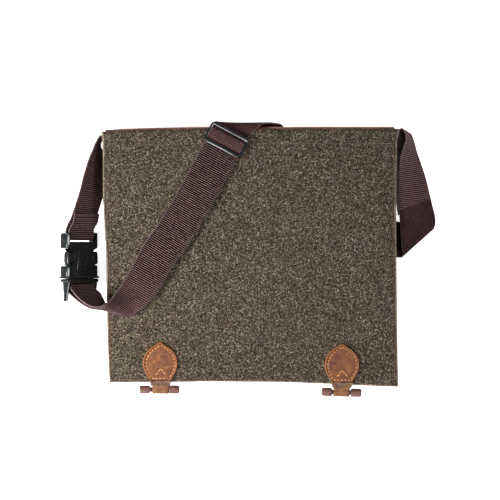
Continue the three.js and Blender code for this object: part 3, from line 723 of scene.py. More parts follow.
flap_across = edge_shares(FLAP_WIDTH, FLAP_GRID, FLAP_EDGE)
flap_along = edge_shares(FLAP_LENGTH, FLAP_GRID, FLAP_EDGE)
flap_x, flap_y = flap_spots(*np.meshgrid(flap_across, flap_along))
flap_low = flap_face(flap_y) - FELT + flap_swell(flap_x, flap_y)
flap_mesh = slab(
    "flap_felt",
    grid(flap_x, flap_y, flap_height(flap_x, flap_y)),
    grid(flap_x, flap_y, flap_low),
    [wool_felt, cut_felt_painted_highlight],
    # the paler edge felt, with its painted highlight, reaches three quads in from the flap's rim
    rim_quads=3,
)
flap = place_piece(flap_mesh, "felt", "flap")

# Tufts on the flap's face: short bent wisps of fibre that lie flat, from cream to nearly black
TUFTS = 30000
TUFT_WIDTH = 0.55
TUFT_LIFT = 0.12
TUFT_SHORTEST = 1.0
TUFT_LONGEST = 2.6
TUFT_MARGIN = 0.012


def tuft_ribbons(name, x, y, height, chance, material):
    """Short bent ribbons that lie on a face, each with its own place in the colour ramp."""
    count = len(x)
    heading = chance.uniform(0, 2 * math.pi, count)
    bend = chance.uniform(-1.1, 1.1, count)
    length = chance.uniform(TUFT_SHORTEST, TUFT_LONGEST, count)
    tone = chance.uniform(0.02, 0.98, count)
    points = np.zeros((count, 3, 2, 3))
    for step, share in enumerate((-0.5, 0, 0.5)):
        angle = heading + bend * share
        spot_x = x + np.cos(angle) * length * share
        spot_y = y + np.sin(angle) * length * share
        width = TUFT_WIDTH * (1 - 0.9 * abs(share))
        for side, sign in enumerate((-0.5, 0.5)):
            points[:, step, side, 0] = spot_x - np.sin(angle) * width * sign
            points[:, step, side, 1] = spot_y + np.cos(angle) * width * sign
            lift = TUFT_LIFT * (1 - abs(share))
            points[:, step, side, 2] = height(points[:, step, side, 0], points[:, step, side, 1]) + lift
    first = 6 * np.arange(count)[:, None]
    faces = np.concatenate([first + (0, 2, 3, 1), first + (2, 4, 5, 3)])
    mesh = new_mesh(name, points.reshape(-1, 3), faces.tolist(), [material], smooth=False)
    tones = np.repeat(tone, 6)
    tone_map = np.column_stack([tones, tones])[faces.ravel()]
    mesh.uv_layers.new(name="tone").data.foreach_set("uv", tone_map.ravel())
    return mesh


# Wisps of loose wool, each of one shade, a little coarser than real ones so that they show
wool_fibre = bare_material("wool_fibre_loose")
fibre_tone = add_node(wool_fibre, "ShaderNodeSeparateXYZ", {
    0: add_node(wool_fibre, "ShaderNodeUVMap", uv_map="tone"),
})
fibre_colour = add_node(wool_fibre, "ShaderNodeValToRGB", {"Fac": fibre_tone.outputs[0]}, [
    (0.0, "#050301"), (0.22, "#181007"), (0.38, "#30291d"), (0.52, "#463a2d"), (0.66, "#5f574b"),
    (0.8, "#776d5d"), (0.92, "#8e8374"), (1.0, "#ada18c"),
])
finish_material(wool_fibre, add_node(wool_fibre, "ShaderNodeBsdfPrincipled", {
    "Base Color": fibre_colour,
    "Roughness": 0.85,
    "Specular IOR Level": 0.1,
    "Sheen Weight": 0.05,
}))
tuft_chance = np.random.default_rng(61)
tuft_across = tuft_chance.uniform(TUFT_MARGIN, 1 - TUFT_MARGIN, TUFTS)
tuft_along = tuft_chance.uniform(TUFT_MARGIN, 1 - TUFT_MARGIN, TUFTS)
tuft_x, tuft_y = flap_spots(tuft_across, tuft_along)
place_piece(tuft_ribbons("flap_tufts", tuft_x, tuft_y, flap_height, tuft_chance, wool_fibre), "felt")

# The flap's seams: thread lies on the felt in short runs and dips into it between them
STITCH_PITCH = 3.6
STITCH_LENGTH = 2.7
THREAD = 0.75
THREAD_RISE = 0.3
FIRST_STITCH = 1.0
SEAM_POINTS = 60
SIDE_SEAM = (-129, 140)
BOTTOM_SEAM = (-153, 160)
TOP_SEAM = (-158, 162)


def ring_faces(rings, sides, first=0):
    """Faces over rings of points, closed at both ends."""
    faces = []
    for ring in range(rings - 1):
        here = first + ring * sides
        for k in range(sides):
            following = (k + 1) % sides
            faces.append((here + k, here + following, here + sides + following, here + sides + k))
    last = first + (rings - 1) * sides
    faces.append(tuple(first + k for k in reversed(range(sides))))
    faces.append(tuple(last + k for k in range(sides)))
    return faces


def thread_runs(name, runs, radius, material):
    """Short humped lengths of thread. Each run is its start, its end and the way up, in millimetres."""
    sides = 6
    shares = np.array([0, 0.16, 0.5, 0.84, 1])
    girth = np.array([0.35, 0.85, 1, 0.85, 0.35])
    rise = np.array([-0.75, 0.0, 0.35, 0.0, -0.75])
    turn = np.arange(sides) * 2 * math.pi / sides
    points = []
    faces = []
    for start, end, up in runs:
        start = np.asarray(start, float)
        along = np.asarray(end, float) - start
        side = np.cross(up, along)
        side /= np.linalg.norm(side)
        first = len(points) * sides
        for share, thick, height in zip(shares, girth, rise):
            centre = start + along * share + np.asarray(up) * height * radius
            ring = np.outer(np.cos(turn), side) + np.outer(np.sin(turn), up)
            points.append(centre + ring * radius * thick)
        faces += ring_faces(len(shares), sides, first)
    return new_mesh(name, np.concatenate(points), faces, [material])


# Twisted polyester sewing thread: fine slanting strands with a slight silky shine
def thread_material(name, tones):
    thread = bare_material(name)
    place = add_node(thread, "ShaderNodeTexCoord").outputs["Object"]
    strands = add_node(thread, "ShaderNodeTexNoise", {
        "Vector": place,
        "Scale": per_metre(1.2),
        "Detail": 3.0,
    })
    colour = add_node(thread, "ShaderNodeValToRGB", {"Fac": strands}, tones)
    relief = add_node(thread, "ShaderNodeBump", {"Height": strands, "Distance": 0.15 * MM})
    return finish_material(thread, add_node(thread, "ShaderNodeBsdfPrincipled", {
        "Base Color": colour,
        "Roughness": 0.55,
        "Sheen Weight": 0.2,
        "Normal": relief,
    }))


seam_thread = thread_material(
    "polyester_thread_dark_brown",
    [(0.35, "#23110d"), (0.5, "#3d211a"), (0.7, "#5a352b")],
)
UP = np.array([0, 0, 1.0])


def on_line(at, distance, line):
    """The point at a distance along a line."""
    return np.stack([np.interp(at, distance, line[:, axis]) for axis in range(line.shape[1])], -1)


def stitches(line, first, pitch, length, place):
    """Runs of thread along a flat line. place turns an x and y into a point on the face."""
    distance = distances(line)
    return [
        (place(*on_line(begin, distance, line)), place(*on_line(begin + length, distance, line)), UP)
        for begin in np.arange(first, distance[-1] - length, pitch)
    ]


def on_flap(x, y):
    """A point on the flap's face for thread to lie on."""
    return x, y, float(flap_height(x, y)) + THREAD_RISE * THREAD


seam_y = np.linspace(*SIDE_SEAM, SEAM_POINTS)
seam_x = np.linspace(*BOTTOM_SEAM, SEAM_POINTS)
top_seam_x = np.linspace(*TOP_SEAM, SEAM_POINTS)
flap_seams = [
    np.column_stack([flap_left(seam_y) + SEAM_INSET, seam_y]),
    np.column_stack([flap_right(seam_y) - SEAM_INSET, seam_y]),
    np.column_stack([seam_x, flap_bottom(seam_x) + SEAM_INSET]),
    np.column_stack([top_seam_x, flap_top(top_seam_x) - TOP_SEAM_INSET]),
]
flap_runs = []
for seam in flap_seams:
    flap_runs += stitches(seam, FIRST_STITCH, STITCH_PITCH, STITCH_LENGTH, on_flap)
place_piece(thread_runs("flap_stitches", flap_runs, THREAD / 2, seam_thread), "felt")

# The fastenings at the flap's bottom edge: on each side a leaf of thick brown leather with a rolled rim,
# sewn on with waxed orange thread, a folded band under it, a pale loop and a turned wooden toggle in it.
TAB_LENGTH = 43.0
TAB_WIDEST = 19.4
TAB_WIDEST_AT = 18.0
TAB_FOOT = 12.0
TAB_THICKNESS = 2.0
TAB_SETTLE = 0.1
TAB_EDGE = 1.0
TAB_ROUNDING = 1.1
TAB_RIM = 1.3
TAB_RIM_RISE = 0.45
TAB_RIM_SPREAD = 0.7
TAB_SEAM = 3.7
TAB_GROOVE = 0.75
TAB_GROOVE_SPREAD = 1.0
TAB_WAVE = 0.1
TAB_WAVE_SIZE = 5.5
TAB_GRID = 0.6

# The two fastenings: name, the tab's middle and bottom edge, the toggle's place, the loop's shift, the turn
FASTENINGS = [
    ("left", -97.3, -132.7, (-98.6, -143.8), 1.2, 0.0),
    ("right", 103.9, -134.6, (103.6, -146.9), 0.0, -1.6),
]


def bezier(start, first, second, end, steps):
    share = np.linspace(0, 1, steps)[:, None]
    start, first, second, end = (np.asarray(point, float) for point in (start, first, second, end))
    early = start * (1 - share) ** 3 + 3 * first * share * (1 - share) ** 2
    return early + 3 * second * share ** 2 * (1 - share) + end * share ** 3


tab_foot = np.array([TAB_FOOT, 0])
tab_shoulder = np.array([TAB_WIDEST, TAB_WIDEST_AT])
tab_tip = np.array([0, TAB_LENGTH])
tab_side = np.vstack([
    bezier(tab_foot, tab_foot + (2, 5), tab_shoulder - (0, 9), tab_shoulder, 30),
    bezier(tab_shoulder, tab_shoulder + (0, 15), tab_tip + (8.6, -6), tab_tip, 40)[1:],
])
tab_outline = np.vstack([tab_side, tab_side[::-1] * (-1, 1)])


def tab_half(y):
    return np.interp(y, tab_side[:, 1], tab_side[:, 0])


def border_distance(x, y):
    """Distance of places on a tab from its curved border."""
    nearest = np.full(np.shape(x), np.inf)
    for start, end in zip(tab_outline, tab_outline[1:]):
        nearest = np.minimum(nearest, segment_distance(x, y, start, end))
    return nearest


def tab_relief(inside):
    """Thickness of a tab by distance from its border: a rolled rim, a sewn groove and a flat middle."""
    rim = TAB_RIM_RISE * np.exp(-((inside - TAB_RIM) / TAB_RIM_SPREAD) ** 2)
    groove = TAB_GROOVE * np.exp(-((inside - TAB_SEAM) / TAB_GROOVE_SPREAD) ** 2)
    return TAB_THICKNESS - TAB_SETTLE + rim - groove - TAB_ROUNDING * rim_drop(inside, TAB_EDGE)


# Waxed pull-up leather: mauve-brown in the middle with tan scuffs, and lightly shiny on the high places.
# Along its border it is dark at the very edge as painted shade, orange on the rim, partly stretched leather
# and partly a painted highlight, and dark in the sewn groove, partly pressed leather and partly painted shade
tab_leather = bare_material("leather_pull_up_waxed_brown")
tab_place = add_node(tab_leather, "ShaderNodeTexCoord").outputs["Object"]
tab_inside = add_node(tab_leather, "ShaderNodeSeparateXYZ", {
    0: add_node(tab_leather, "ShaderNodeUVMap", uv_map="border_mm"),
})
tab_cloud = add_node(tab_leather, "ShaderNodeTexNoise", {
    "Vector": tab_place,
    "Scale": per_metre(5.5),
    "Detail": 5.0,
    "Roughness": 0.62,
    "Distortion": 0.6,
})
tab_middle = add_node(tab_leather, "ShaderNodeValToRGB", {"Fac": tab_cloud}, [
    (0.30, "#3d2015"), (0.44, "#542f16"), (0.54, "#63391b"), (0.63, "#74461b"), (0.74, "#8c5e28"),
])
tab_share = add_node(tab_leather, "ShaderNodeMapRange", {"Value": tab_inside.outputs[0], "From Max": 8.0})
# Colours by distance from the border: painted shade at the very edge, a painted highlight on the rolled rim,
# painted shade in the sewn groove, then the leather's own tone
tab_border_tones_and_painted_light = add_node(tab_leather, "ShaderNodeValToRGB", {"Fac": tab_share}, [
    (0.00, "#5a2f15"), (0.14, "#855026"), (0.24, "#683a19"), (0.42, "#391b0b"), (0.60, "#64371c"),
    (1.00, "#5f3722"),
])
tab_zone_share = add_node(tab_leather, "ShaderNodeMapRange", {
    "Value": tab_inside.outputs[0],
    "From Min": 3.5,
    "From Max": 7.0,
    "To Min": 0.75,
    "To Max": 0.1,
})
tab_colour = add_node(tab_leather, "ShaderNodeMix", {
    0: tab_zone_share,
    6: tab_middle,
    7: tab_border_tones_and_painted_light,
}, data_type="RGBA")
tab_grain = add_node(tab_leather, "ShaderNodeTexVoronoi", {"Vector": tab_place, "Scale": per_metre(0.9)})
tab_creases = add_node(tab_leather, "ShaderNodeTexNoise", {
    "Vector": tab_place,
    "Scale": per_metre(2.4),
    "Detail": 5.0,
    "Distortion": 1.5,
})
tab_heights = add_node(tab_leather, "ShaderNodeMath", {0: tab_grain, 1: tab_creases}, operation="ADD")
tab_bump = add_node(tab_leather, "ShaderNodeBump", {
    "Height": tab_heights,
    "Strength": 0.55,
    "Distance": 0.3 * MM,
})
tab_shine = add_node(tab_leather, "ShaderNodeMapRange", {
    "Value": tab_cloud,
    "To Min": 0.52,
    "To Max": 0.74,
})
finish_material(tab_leather, add_node(tab_leather, "ShaderNodeBsdfPrincipled", {
    "Base Color": tab_colour.outputs[2],
    "Roughness": tab_shine,
    "IOR": 1.48,
    "Specular IOR Level": 0.35,
    "Normal": tab_bump,
}))
tab_thread = thread_material(
    "polyester_thread_waxed_orange",
    [(0.35, "#98592a"), (0.5, "#b87b3f"), (0.7, "#cf9c60")],
)

# The tab's sewing: stitch pitch and length, the marks of the upturned V and the row along its foot
TAB_PITCH = 4.0
TAB_STITCH = 3.1
TAB_THREAD = 1.2
V_TIP = np.array([0.2, 12.7])
V_FEET = np.array([(-5.0, 5.5), (6.4, 5.7)])
V_STITCH = 0.48
FOOT_ROW = 1.9
FOOT_ROW_SPAN = (-9.5, 8.5)
FIRST_TAB_STITCH = 1.2
TAB_THREAD_RISE = 0.12


def tab_sewing(place):
    """The stitches of one tab. place turns the tab's own x and y into a point on its face."""
    inner = tab_outline * (1 - TAB_SEAM / TAB_WIDEST, 1)
    inner = np.column_stack([inner[:, 0], TAB_SEAM * 0.6 + inner[:, 1] * (1 - 1.75 * TAB_SEAM / TAB_LENGTH)])
    runs = stitches(inner, FIRST_TAB_STITCH, TAB_PITCH, TAB_STITCH, place)
    for foot in V_FEET:
        for share in (0.0, 0.5):
            start = V_TIP + (foot - V_TIP) * share
            end = V_TIP + (foot - V_TIP) * (share + V_STITCH)
            runs.append((place(*start), place(*end), UP))
    for x in np.arange(*FOOT_ROW_SPAN, TAB_PITCH):
        runs.append((place(x, FOOT_ROW), place(x + TAB_STITCH, FOOT_ROW), UP))
    return runs


tab_rows = edge_shares(TAB_LENGTH, TAB_GRID, TAB_EDGE) * TAB_LENGTH
tab_rows[-1] = TAB_LENGTH - 0.05
tab_columns = edge_shares(2 * TAB_WIDEST, TAB_GRID, TAB_EDGE) * 2 - 1
tab_y = tab_rows[:, None]
tab_x = tab_half(tab_y) * tab_columns[None, :]
tab_depth = border_distance(tab_x, tab_y)

# The folded band under a tab: scuffed grey-brown leather, rolled down over the flap's edge
KEEPER_TOP = 12.3
KEEPER_FOOT = 10.6
KEEPER_LENGTH = 6.4
KEEPER_ROLL = 1.3
KEEPER_EDGE = 0.7
KEEPER_ROUNDING = 0.9
KEEPER_WAVE = 0.12
KEEPER_WAVE_SIZE = 4.0
keeper_leather = leather_material(
    "leather_scuffed_grey_brown",
    [(0.32, "#331d0c"), (0.46, "#55361d"), (0.58, "#66472c"), (0.70, "#866440")],
    grain=0.8,
    roughness=0.6,
    relief_depth=0.25,
)

# The loop: a strip of pale tan leather round the toggle's neck, its raw flesh side showing
LOOP_WIDTH = 18.0
LOOP_LEG = 7.9
LOOP_LEG_STEPS = 7
LOOP_BEND_STEPS = 25
LOOP_STEP = 1.5
LOOP_EDGE = 0.6
LOOP_ROUNDING = 0.5
TOGGLE_NECK = 2.7
TOGGLE_Z = 15.8
loop_leather = leather_material(
    "leather_raw_tan",
    [(0.30, "#3d220c"), (0.44, "#5e3819"), (0.56, "#704824"), (0.70, "#926d3f")],
    grain=0.7,
    roughness=0.68,
    relief_depth=0.3,
)

# The toggle: a spool turned from reddish-brown hardwood, with fine long grain under a satin oil finish
TOGGLE_LENGTH = 44.8
TOGGLE_BARREL = 11.8
TOGGLE_RADIUS = 4.7
TOGGLE_SIDES = 40
toggle_wood = bare_material("hardwood_turned_oiled_red_brown")
wood_place = add_node(toggle_wood, "ShaderNodeMapping", {
    "Vector": add_node(toggle_wood, "ShaderNodeTexCoord").outputs["Object"],
    "Scale": (0.16, 1, 1),
})
wood_grain = add_node(toggle_wood, "ShaderNodeTexNoise", {
    "Vector": wood_place,
    "Scale": per_metre(1.1),
    "Detail": 5.0,
    "Roughness": 0.6,
    "Distortion": 0.7,
})
wood_colour = add_node(toggle_wood, "ShaderNodeValToRGB", {"Fac": wood_grain}, [
    (0.30, "#39201c"), (0.45, "#56352e"), (0.57, "#68453c"), (0.70, "#815c50"),
])
wood_relief = add_node(toggle_wood, "ShaderNodeBump", {
    "Height": wood_grain,
    "Strength": 0.4,
    "Distance": 0.2 * MM,
})
finish_material(toggle_wood, add_node(toggle_wood, "ShaderNodeBsdfPrincipled", {
    "Base Color": wood_colour,
    "Roughness": 0.42,
    "IOR": 1.5,
    "Normal": wood_relief,
}))


def turned(name, profile, sides, to_world, material):
    """A piece turned about its own x axis. The profile is rows of x and radius."""
    turn = np.arange(sides) * 2 * math.pi / sides
    points = []
    for x, radius in profile:
        points.extend((x, radius * math.cos(angle), radius * math.sin(angle)) for angle in turn)
    return new_mesh(name, to_world(np.array(points)), ring_faces(len(profile), sides), [material])


def spool_profile():
    """Half of the toggle's outline from its middle to its end, then mirrored."""
    start = TOGGLE_LENGTH / 2 - TOGGLE_BARREL
    end = TOGGLE_LENGTH / 2
    inner_round = 0.9
    outer_round = 2.2
    half = [(0, TOGGLE_NECK), (start - 0.3, TOGGLE_NECK), (start - 0.1, TOGGLE_NECK + 0.4)]
    for angle in np.linspace(0, math.pi / 2, 5):
        half.append((start + inner_round * (1 - math.sin(angle)),
                     TOGGLE_RADIUS - inner_round * (1 - math.cos(angle))))
    half[3:] = half[3:][::-1]
    half.append(((start + end) / 2, TOGGLE_RADIUS + 0.08))
    for angle in np.linspace(0, math.pi / 2, 7):
        half.append((end - outer_round * (1 - math.sin(angle)),
                     TOGGLE_RADIUS - outer_round * (1 - math.cos(angle))))
    half.append((end, 0.6))
    return [(-x, radius) for x, radius in half[:0:-1]] + half


def loop_middle():
    """The loop's middle line about the toggle's middle, as y and z from one leg's end to the other's."""
    radius = TOGGLE_NECK + GAP + LEATHER / 2
    turn = np.linspace(math.pi / 2, 1.5 * math.pi, LOOP_BEND_STEPS)
    legs = np.linspace(LOOP_LEG, 1, LOOP_LEG_STEPS)
    upper_leg = np.column_stack([legs, np.full(LOOP_LEG_STEPS, radius)])
    bend = np.column_stack([np.cos(turn), np.sin(turn)]) * radius
    lower_leg = np.column_stack([legs[::-1], np.full(LOOP_LEG_STEPS, -radius)])
    return np.vstack([upper_leg, bend, lower_leg])


loop_line = loop_middle()
loop_run = unit(np.gradient(loop_line, axis=0))
loop_across = edge_shares(LOOP_WIDTH, LOOP_STEP, LOOP_EDGE) - 0.5


def loop_face(side, shift):
    """One face of the loop's strip, with soft edges."""
    edge = rim_drop((0.5 - np.abs(loop_across)) * LOOP_WIDTH, LOOP_EDGE)[None, :]
    out = side * (LEATHER / 2 - LOOP_ROUNDING * edge)
    x = shift + loop_across[None, :] * LOOP_WIDTH
    y = loop_line[:, :1] - loop_run[:, 1:] * out
    z = loop_line[:, 1:] + loop_run[:, :1] * out
    return grid(x, y, z)


for side_name, tab_middle_x, tab_edge, toggle_spot, loop_shift, turn_degrees in FASTENINGS:
    def on_tab(x, y, raise_by=0.0, edge=tab_edge, middle=tab_middle_x):
        """A point on the tab's face for the tab's own x and y."""
        height = flap_face(edge + y) + GAP + tab_relief(border_distance(np.array(x), np.array(y)))
        return np.array([middle + x, edge + y, float(height) + raise_by])

    tab_wave = TAB_WAVE * ripple(tab_x + tab_middle_x, tab_y, TAB_WAVE_SIZE, 71)
    tab_low = flap_face(tab_edge + tab_y) + GAP
    tab_mesh = slab(
        "tab_leather_" + side_name,
        grid(tab_middle_x + tab_x, tab_edge + tab_y, tab_low + tab_relief(tab_depth) + tab_wave),
        grid(tab_middle_x + tab_x, tab_edge + tab_y, tab_low),
        [tab_leather],
        {"border_mm": grid(tab_depth, tab_y)},
    )
    place_piece(tab_mesh, "brown_leather", "tab_" + side_name)
    sewing = tab_sewing(lambda x, y: on_tab(x, y, TAB_THREAD_RISE))
    place_piece(thread_runs("tab_stitches_" + side_name, sewing, TAB_THREAD / 2, tab_thread), "brown_leather")

    toggle_turn = math.radians(turn_degrees)
    toggle_place = np.array([toggle_spot[0], toggle_spot[1], TOGGLE_Z])

    def from_toggle(points, turn=toggle_turn, place=toggle_place):
        """Points about the toggle's middle, turned and put in place on the bag."""
        x = points[..., 0] * math.cos(turn) - points[..., 1] * math.sin(turn)
        y = points[..., 0] * math.sin(turn) + points[..., 1] * math.cos(turn)
        return grid(x, y, points[..., 2]) + place

    keeper_far = tab_edge - toggle_spot[1] - 0.4
    keeper_along = edge_shares(KEEPER_LENGTH, 0.5, 0.6)[:, None]
    keeper_across = edge_shares(2 * KEEPER_TOP, 1.0, KEEPER_EDGE)[None, :] * 2 - 1
    keeper_half = KEEPER_TOP + (KEEPER_FOOT - KEEPER_TOP) * keeper_along
    keeper_x = loop_shift + keeper_half * keeper_across
    keeper_y = keeper_far - KEEPER_LENGTH * keeper_along
    keeper_inside = np.minimum(
        np.minimum(keeper_along, 1 - keeper_along) * KEEPER_LENGTH,
        (1 - np.abs(keeper_across)) * keeper_half,
    )
    keeper_level = TOGGLE_NECK + LEATHER + 2.5 * GAP - KEEPER_ROLL * keeper_along ** 2
    keeper_level = np.maximum(keeper_level, TOGGLE_NECK + LEATHER + 1.4 * GAP)
    keeper_wave = KEEPER_WAVE * ripple(keeper_x, keeper_y, KEEPER_WAVE_SIZE, 81)
    keeper_soft = KEEPER_ROUNDING * rim_drop(keeper_inside, KEEPER_EDGE)
    keeper_top = keeper_level + LEATHER - keeper_soft + keeper_wave
    keeper_mesh = slab(
        "keeper_leather_" + side_name,
        from_toggle(grid(keeper_x, keeper_y, keeper_top)),
        from_toggle(grid(keeper_x, keeper_y, keeper_level)),
        [keeper_leather],
    )
    place_piece(keeper_mesh, "keeper_leather", "keeper_" + side_name)

    loop_mesh = slab(
        "loop_leather_" + side_name,
        from_toggle(loop_face(1, loop_shift)),
        from_toggle(loop_face(-1, loop_shift)),
        [loop_leather],
    )
    place_piece(loop_mesh, "pale_leather", "loop_" + side_name)

    toggle_mesh = turned("toggle_spool_" + side_name, spool_profile(), TOGGLE_SIDES, from_toggle, toggle_wood)
    place_piece(toggle_mesh, "toggle_wood", "toggle_" + side_name)

# The webbing straps: polyester webbing 40 mm wide, woven with a rib across it every 2.25 mm. The short one,
# from the left top corner, is folded round the buckle and sewn. The long one goes from the right top corner
# under the bag, over its top edge, through the slider to the buckle, and back to the slider's middle bar.
WEBBING_WIDTH = 40.0
WEBBING_HALF = 0.8
RIB = 2.25
RIB_STEPS = 6
RIB_HEIGHT = 0.42
SMOOTH_HEIGHT = 0.12
SMOOTH_STEP = 1.2
SELVEDGE = 1.3
SPAN_STEPS = 24

# The buckle's place and lean, and the bars that the straps go round
BUCKLE_CENTRE = np.array([-186.6, -10.5, 24.0])
BUCKLE_LEAN = math.radians(52)
BUCKLE_RIGHT = np.array([math.cos(BUCKLE_LEAN), 0, -math.sin(BUCKLE_LEAN)])
BUCKLE_ALONG = np.array([0, 1.0, 0])
BUCKLE_FACE = np.array([math.sin(BUCKLE_LEAN), 0, math.cos(BUCKLE_LEAN)])
FEMALE_BAR = 36.5
MALE_BAR = -17.0

# The strap's sections: the uppermost edge's x, y, z, then the other edge's x, y, z
SHORT_STRAP = [
    (-158.3, 98, 40.4, -158.3, 98, 0.4),
    (-158.3, 128, 40.4, -158.3, 128, 0.4),
    (-162, 137, 40.4, -161.6, 137, 0.4),
    (-167, 130, 40.2, -165.4, 128.4, 0.6),
    (-171, 121, 39.8, -161.8, 119.6, 0.9),
    (-175, 112, 38.6, -161.4, 109.8, 1.5),
    (-180.6, 95, 36.9, -161.2, 92.4, 2.5),
    (-185.2, 77, 36.6, -161.4, 74.6, 3.6),
    (-190.5, 60, 37.2, -166.4, 57.4, 5.8),
    (-195, 47, 38.8, -169.8, 46, 8),
]
SHORT_STRAP_END = [
    (-192.7, 42, 40, -167.7, 42, 9.2),
    (-190.8, 52, 39.4, -166, 52, 8.2),
]
RIGHT_LOOP = [
    (162.4, 68, 36.8, 168, 50, 1.8),
    (162.3, 92, 39.2, 171, 82, 2),
    (162.3, 114, 40.2, 175.5, 112, 2.6),
    (162.8, 131, 40.4, 177, 131, 3),
    (168.2, 145, 40.6, 181, 141.3, 2),
    (173.7, 134.5, 41, 185.4, 131.5, 1.5),
    (170.5, 124, 40, 188, 121.8, 2.2),
    (167.6, 112.5, 37.4, 192.2, 109.6, 3.4),
    (166.4, 95, 33.8, 198, 91.4, 5.6),
    (166.2, 77.5, 29.5, 202.2, 73.4, 8.6),
    (166.8, 60, 24.8, 205.8, 57.6, 11.2),
    (168.3, 40, 19.6, 208, 48, 12),
    (170.2, 18, 15.5, 208.4, 40, 8.6),
    (171.8, 4, 8.4, 206, 34.5, 4.8),
    (166, 3, 2.4, 198, 36, 2.2),
]
CREST = [
    (22.4, 96.6, 1.1, 57.6, 115.4, 1.1),
    (8.4, 122, 1.1, 45, 137, 1.1),
    (-2, 139, 1.2, 40.6, 144.6, 1.2),
    (-6, 148.2, 2.6, 40, 148.4, 2.6),
    (-9, 150.2, 8, 36.8, 151.2, 8),
    (-12.8, 150.4, 16, 32.8, 151.6, 16),
    (-17.8, 150.4, 26, 28.4, 151.6, 26),
    (-22.6, 150.2, 36, 24, 151.2, 36.4),
    (-27, 150.4, 44.5, 19, 150.4, 45.4),
    (-31, 151.2, 49.3, 13, 147.4, 50.8),
]

# The turn at the lower left, midway between its two layers, and half the distance between them
LEFT_TURN = [
    (-93.7, 48, 41.4, -59.3, 28.2, 41.2, 1.05),
    (-114.7, 16.8, 38.8, -80.6, -3.4, 38.4, 1.05),
    (-137.2, -23.7, 38.5, -105, -41.6, 33.4, 1.05),
    (-146.4, -37.4, 47, -121, -56.5, 31.2, 1.05),
    (-150.6, -43.7, 57, -130.4, -61, 31.6, 1.05),
    (-155.5, -48.4, 64, -139.2, -60.6, 32, 1.05),
    (-162.4, -51.6, 65.5, -148.2, -56.6, 32.2, 1.05),
    (-170.7, -51.2, 63, -156.4, -50.4, 31.4, 1.1),
    (-180.2, -47, 55, -160.6, -44.4, 22, 1.3),
    (-190, -39.8, 45, -165.6, -38, 14.6, 2),
]

# Through the slider: distance down the strap from the slider's middle, height over the flap
# and, where it isn't level, lift of the right edge
STRAP_HEADING = np.array([-0.47, -0.883]) / np.hypot(0.47, 0.883)
UPPER_LAYER = 3.2
LOWER_LAYER = 1.1
THROUGH_SLIDER = [
    (-11.5, 2.5),
    (-8.2, 2.6),
    (-6.2, 5),
    (-4.4, 7.3),
    (0, 7.7),
    (4.4, 7),
    (6.6, 4.6),
    (9, UPPER_LAYER),
    (20, UPPER_LAYER, 0.7),
    (60, UPPER_LAYER, 1.8),
]
ROUND_MIDDLE_BAR = [
    (60, LOWER_LAYER, 1.8),
    (20, LOWER_LAYER, 0.7),
    (4, LOWER_LAYER - 0.1),
    (-2.4, LOWER_LAYER - 0.1),
    (-4.2, 2),
    (-4.6, 3.3),
    (-4, 4.8),
    (-2.2, 5.45),
    (4.4, 5.3),
]


def buckle_section(along, height):
    """Webbing in the buckle, at a place along it and a height over its middle plane."""
    middle = BUCKLE_CENTRE + BUCKLE_ALONG * along + BUCKLE_FACE * height
    half = BUCKLE_RIGHT * WEBBING_WIDTH / 2
    return [(*(middle - half), *(middle + half))]


def bar_loop(bar, radius, turn):
    """Webbing bent round a bar of the buckle."""
    angles = [math.radians(degrees) for degrees in (-80, -45, 0, 45, 80)]
    sections = []
    for angle in angles:
        sections += buckle_section(bar - turn * radius * math.cos(angle), radius * math.sin(angle))
    return sections


def flap_section(distance, height, lift=0.0):
    """Webbing on the flap, square to its heading."""
    middle = SLIDER_CENTRE + STRAP_HEADING * distance
    side = np.array([STRAP_HEADING[1], -STRAP_HEADING[0]]) * WEBBING_WIDTH / 2
    first = middle + side
    second = middle - side
    return (*first, flap_face(first[1]) + height, *second, flap_face(second[1]) + height + lift)


def under_section(share):
    """Webbing under the bag, square to its middle line."""
    line = curve(UNDER_BAG, 30)
    i = min(round(share * (len(line) - 1)), len(line) - 2)
    run = line[i + 1] - line[max(i - 1, 0)]
    side = np.array([-run[1], run[0], 0]) / np.hypot(run[0], run[1]) * WEBBING_WIDTH / 2
    level = np.array([0, 0, WEBBING_HALF + GAP])
    return (*(line[i] + side + level), *(line[i] - side + level))


def facings(sections):
    """The way each section of webbing faces."""
    run = np.gradient((sections[:, :3] + sections[:, 3:6]) / 2, axis=0)
    return unit(np.cross(run, sections[:, :3] - sections[:, 3:6]))


def turn_layer(side):
    """One layer of the turn at the lower left."""
    sections = np.array(LEFT_TURN)
    shift = facings(sections) * side * sections[:, 6:7]
    return [tuple(row) for row in np.hstack([sections[:, :3] + shift, sections[:, 3:6] + shift])]


# Polyester webbing, woven and dyed dark red-brown; the yarns of a rib lie side by side along the strap. Its
# colour
# holds painted light: a painted highlight on the crest of each rib and nearly black painted shade in the
# grooves.
# Beside the bag the ribs are painted lighter and softer, and the plain stretch is even, dark painted shade.
YARN = 1.15
YARN_SHARE = 0.25
webbing = bare_material("polyester_webbing_ribbed_red_brown")
webbing_map = add_node(webbing, "ShaderNodeUVMap", uv_map="flat_mm")
webbing_axes = add_node(webbing, "ShaderNodeSeparateXYZ", {0: webbing_map})
weave_map = add_node(webbing, "ShaderNodeUVMap", uv_map="weave_shares")
weave_axes = add_node(webbing, "ShaderNodeSeparateXYZ", {0: weave_map})
rib_count = add_node(webbing, "ShaderNodeMath", {0: webbing_axes.outputs[1], 1: RIB}, operation="DIVIDE")
rib_share = add_node(webbing, "ShaderNodeMath", {0: rib_count}, operation="FRACT")
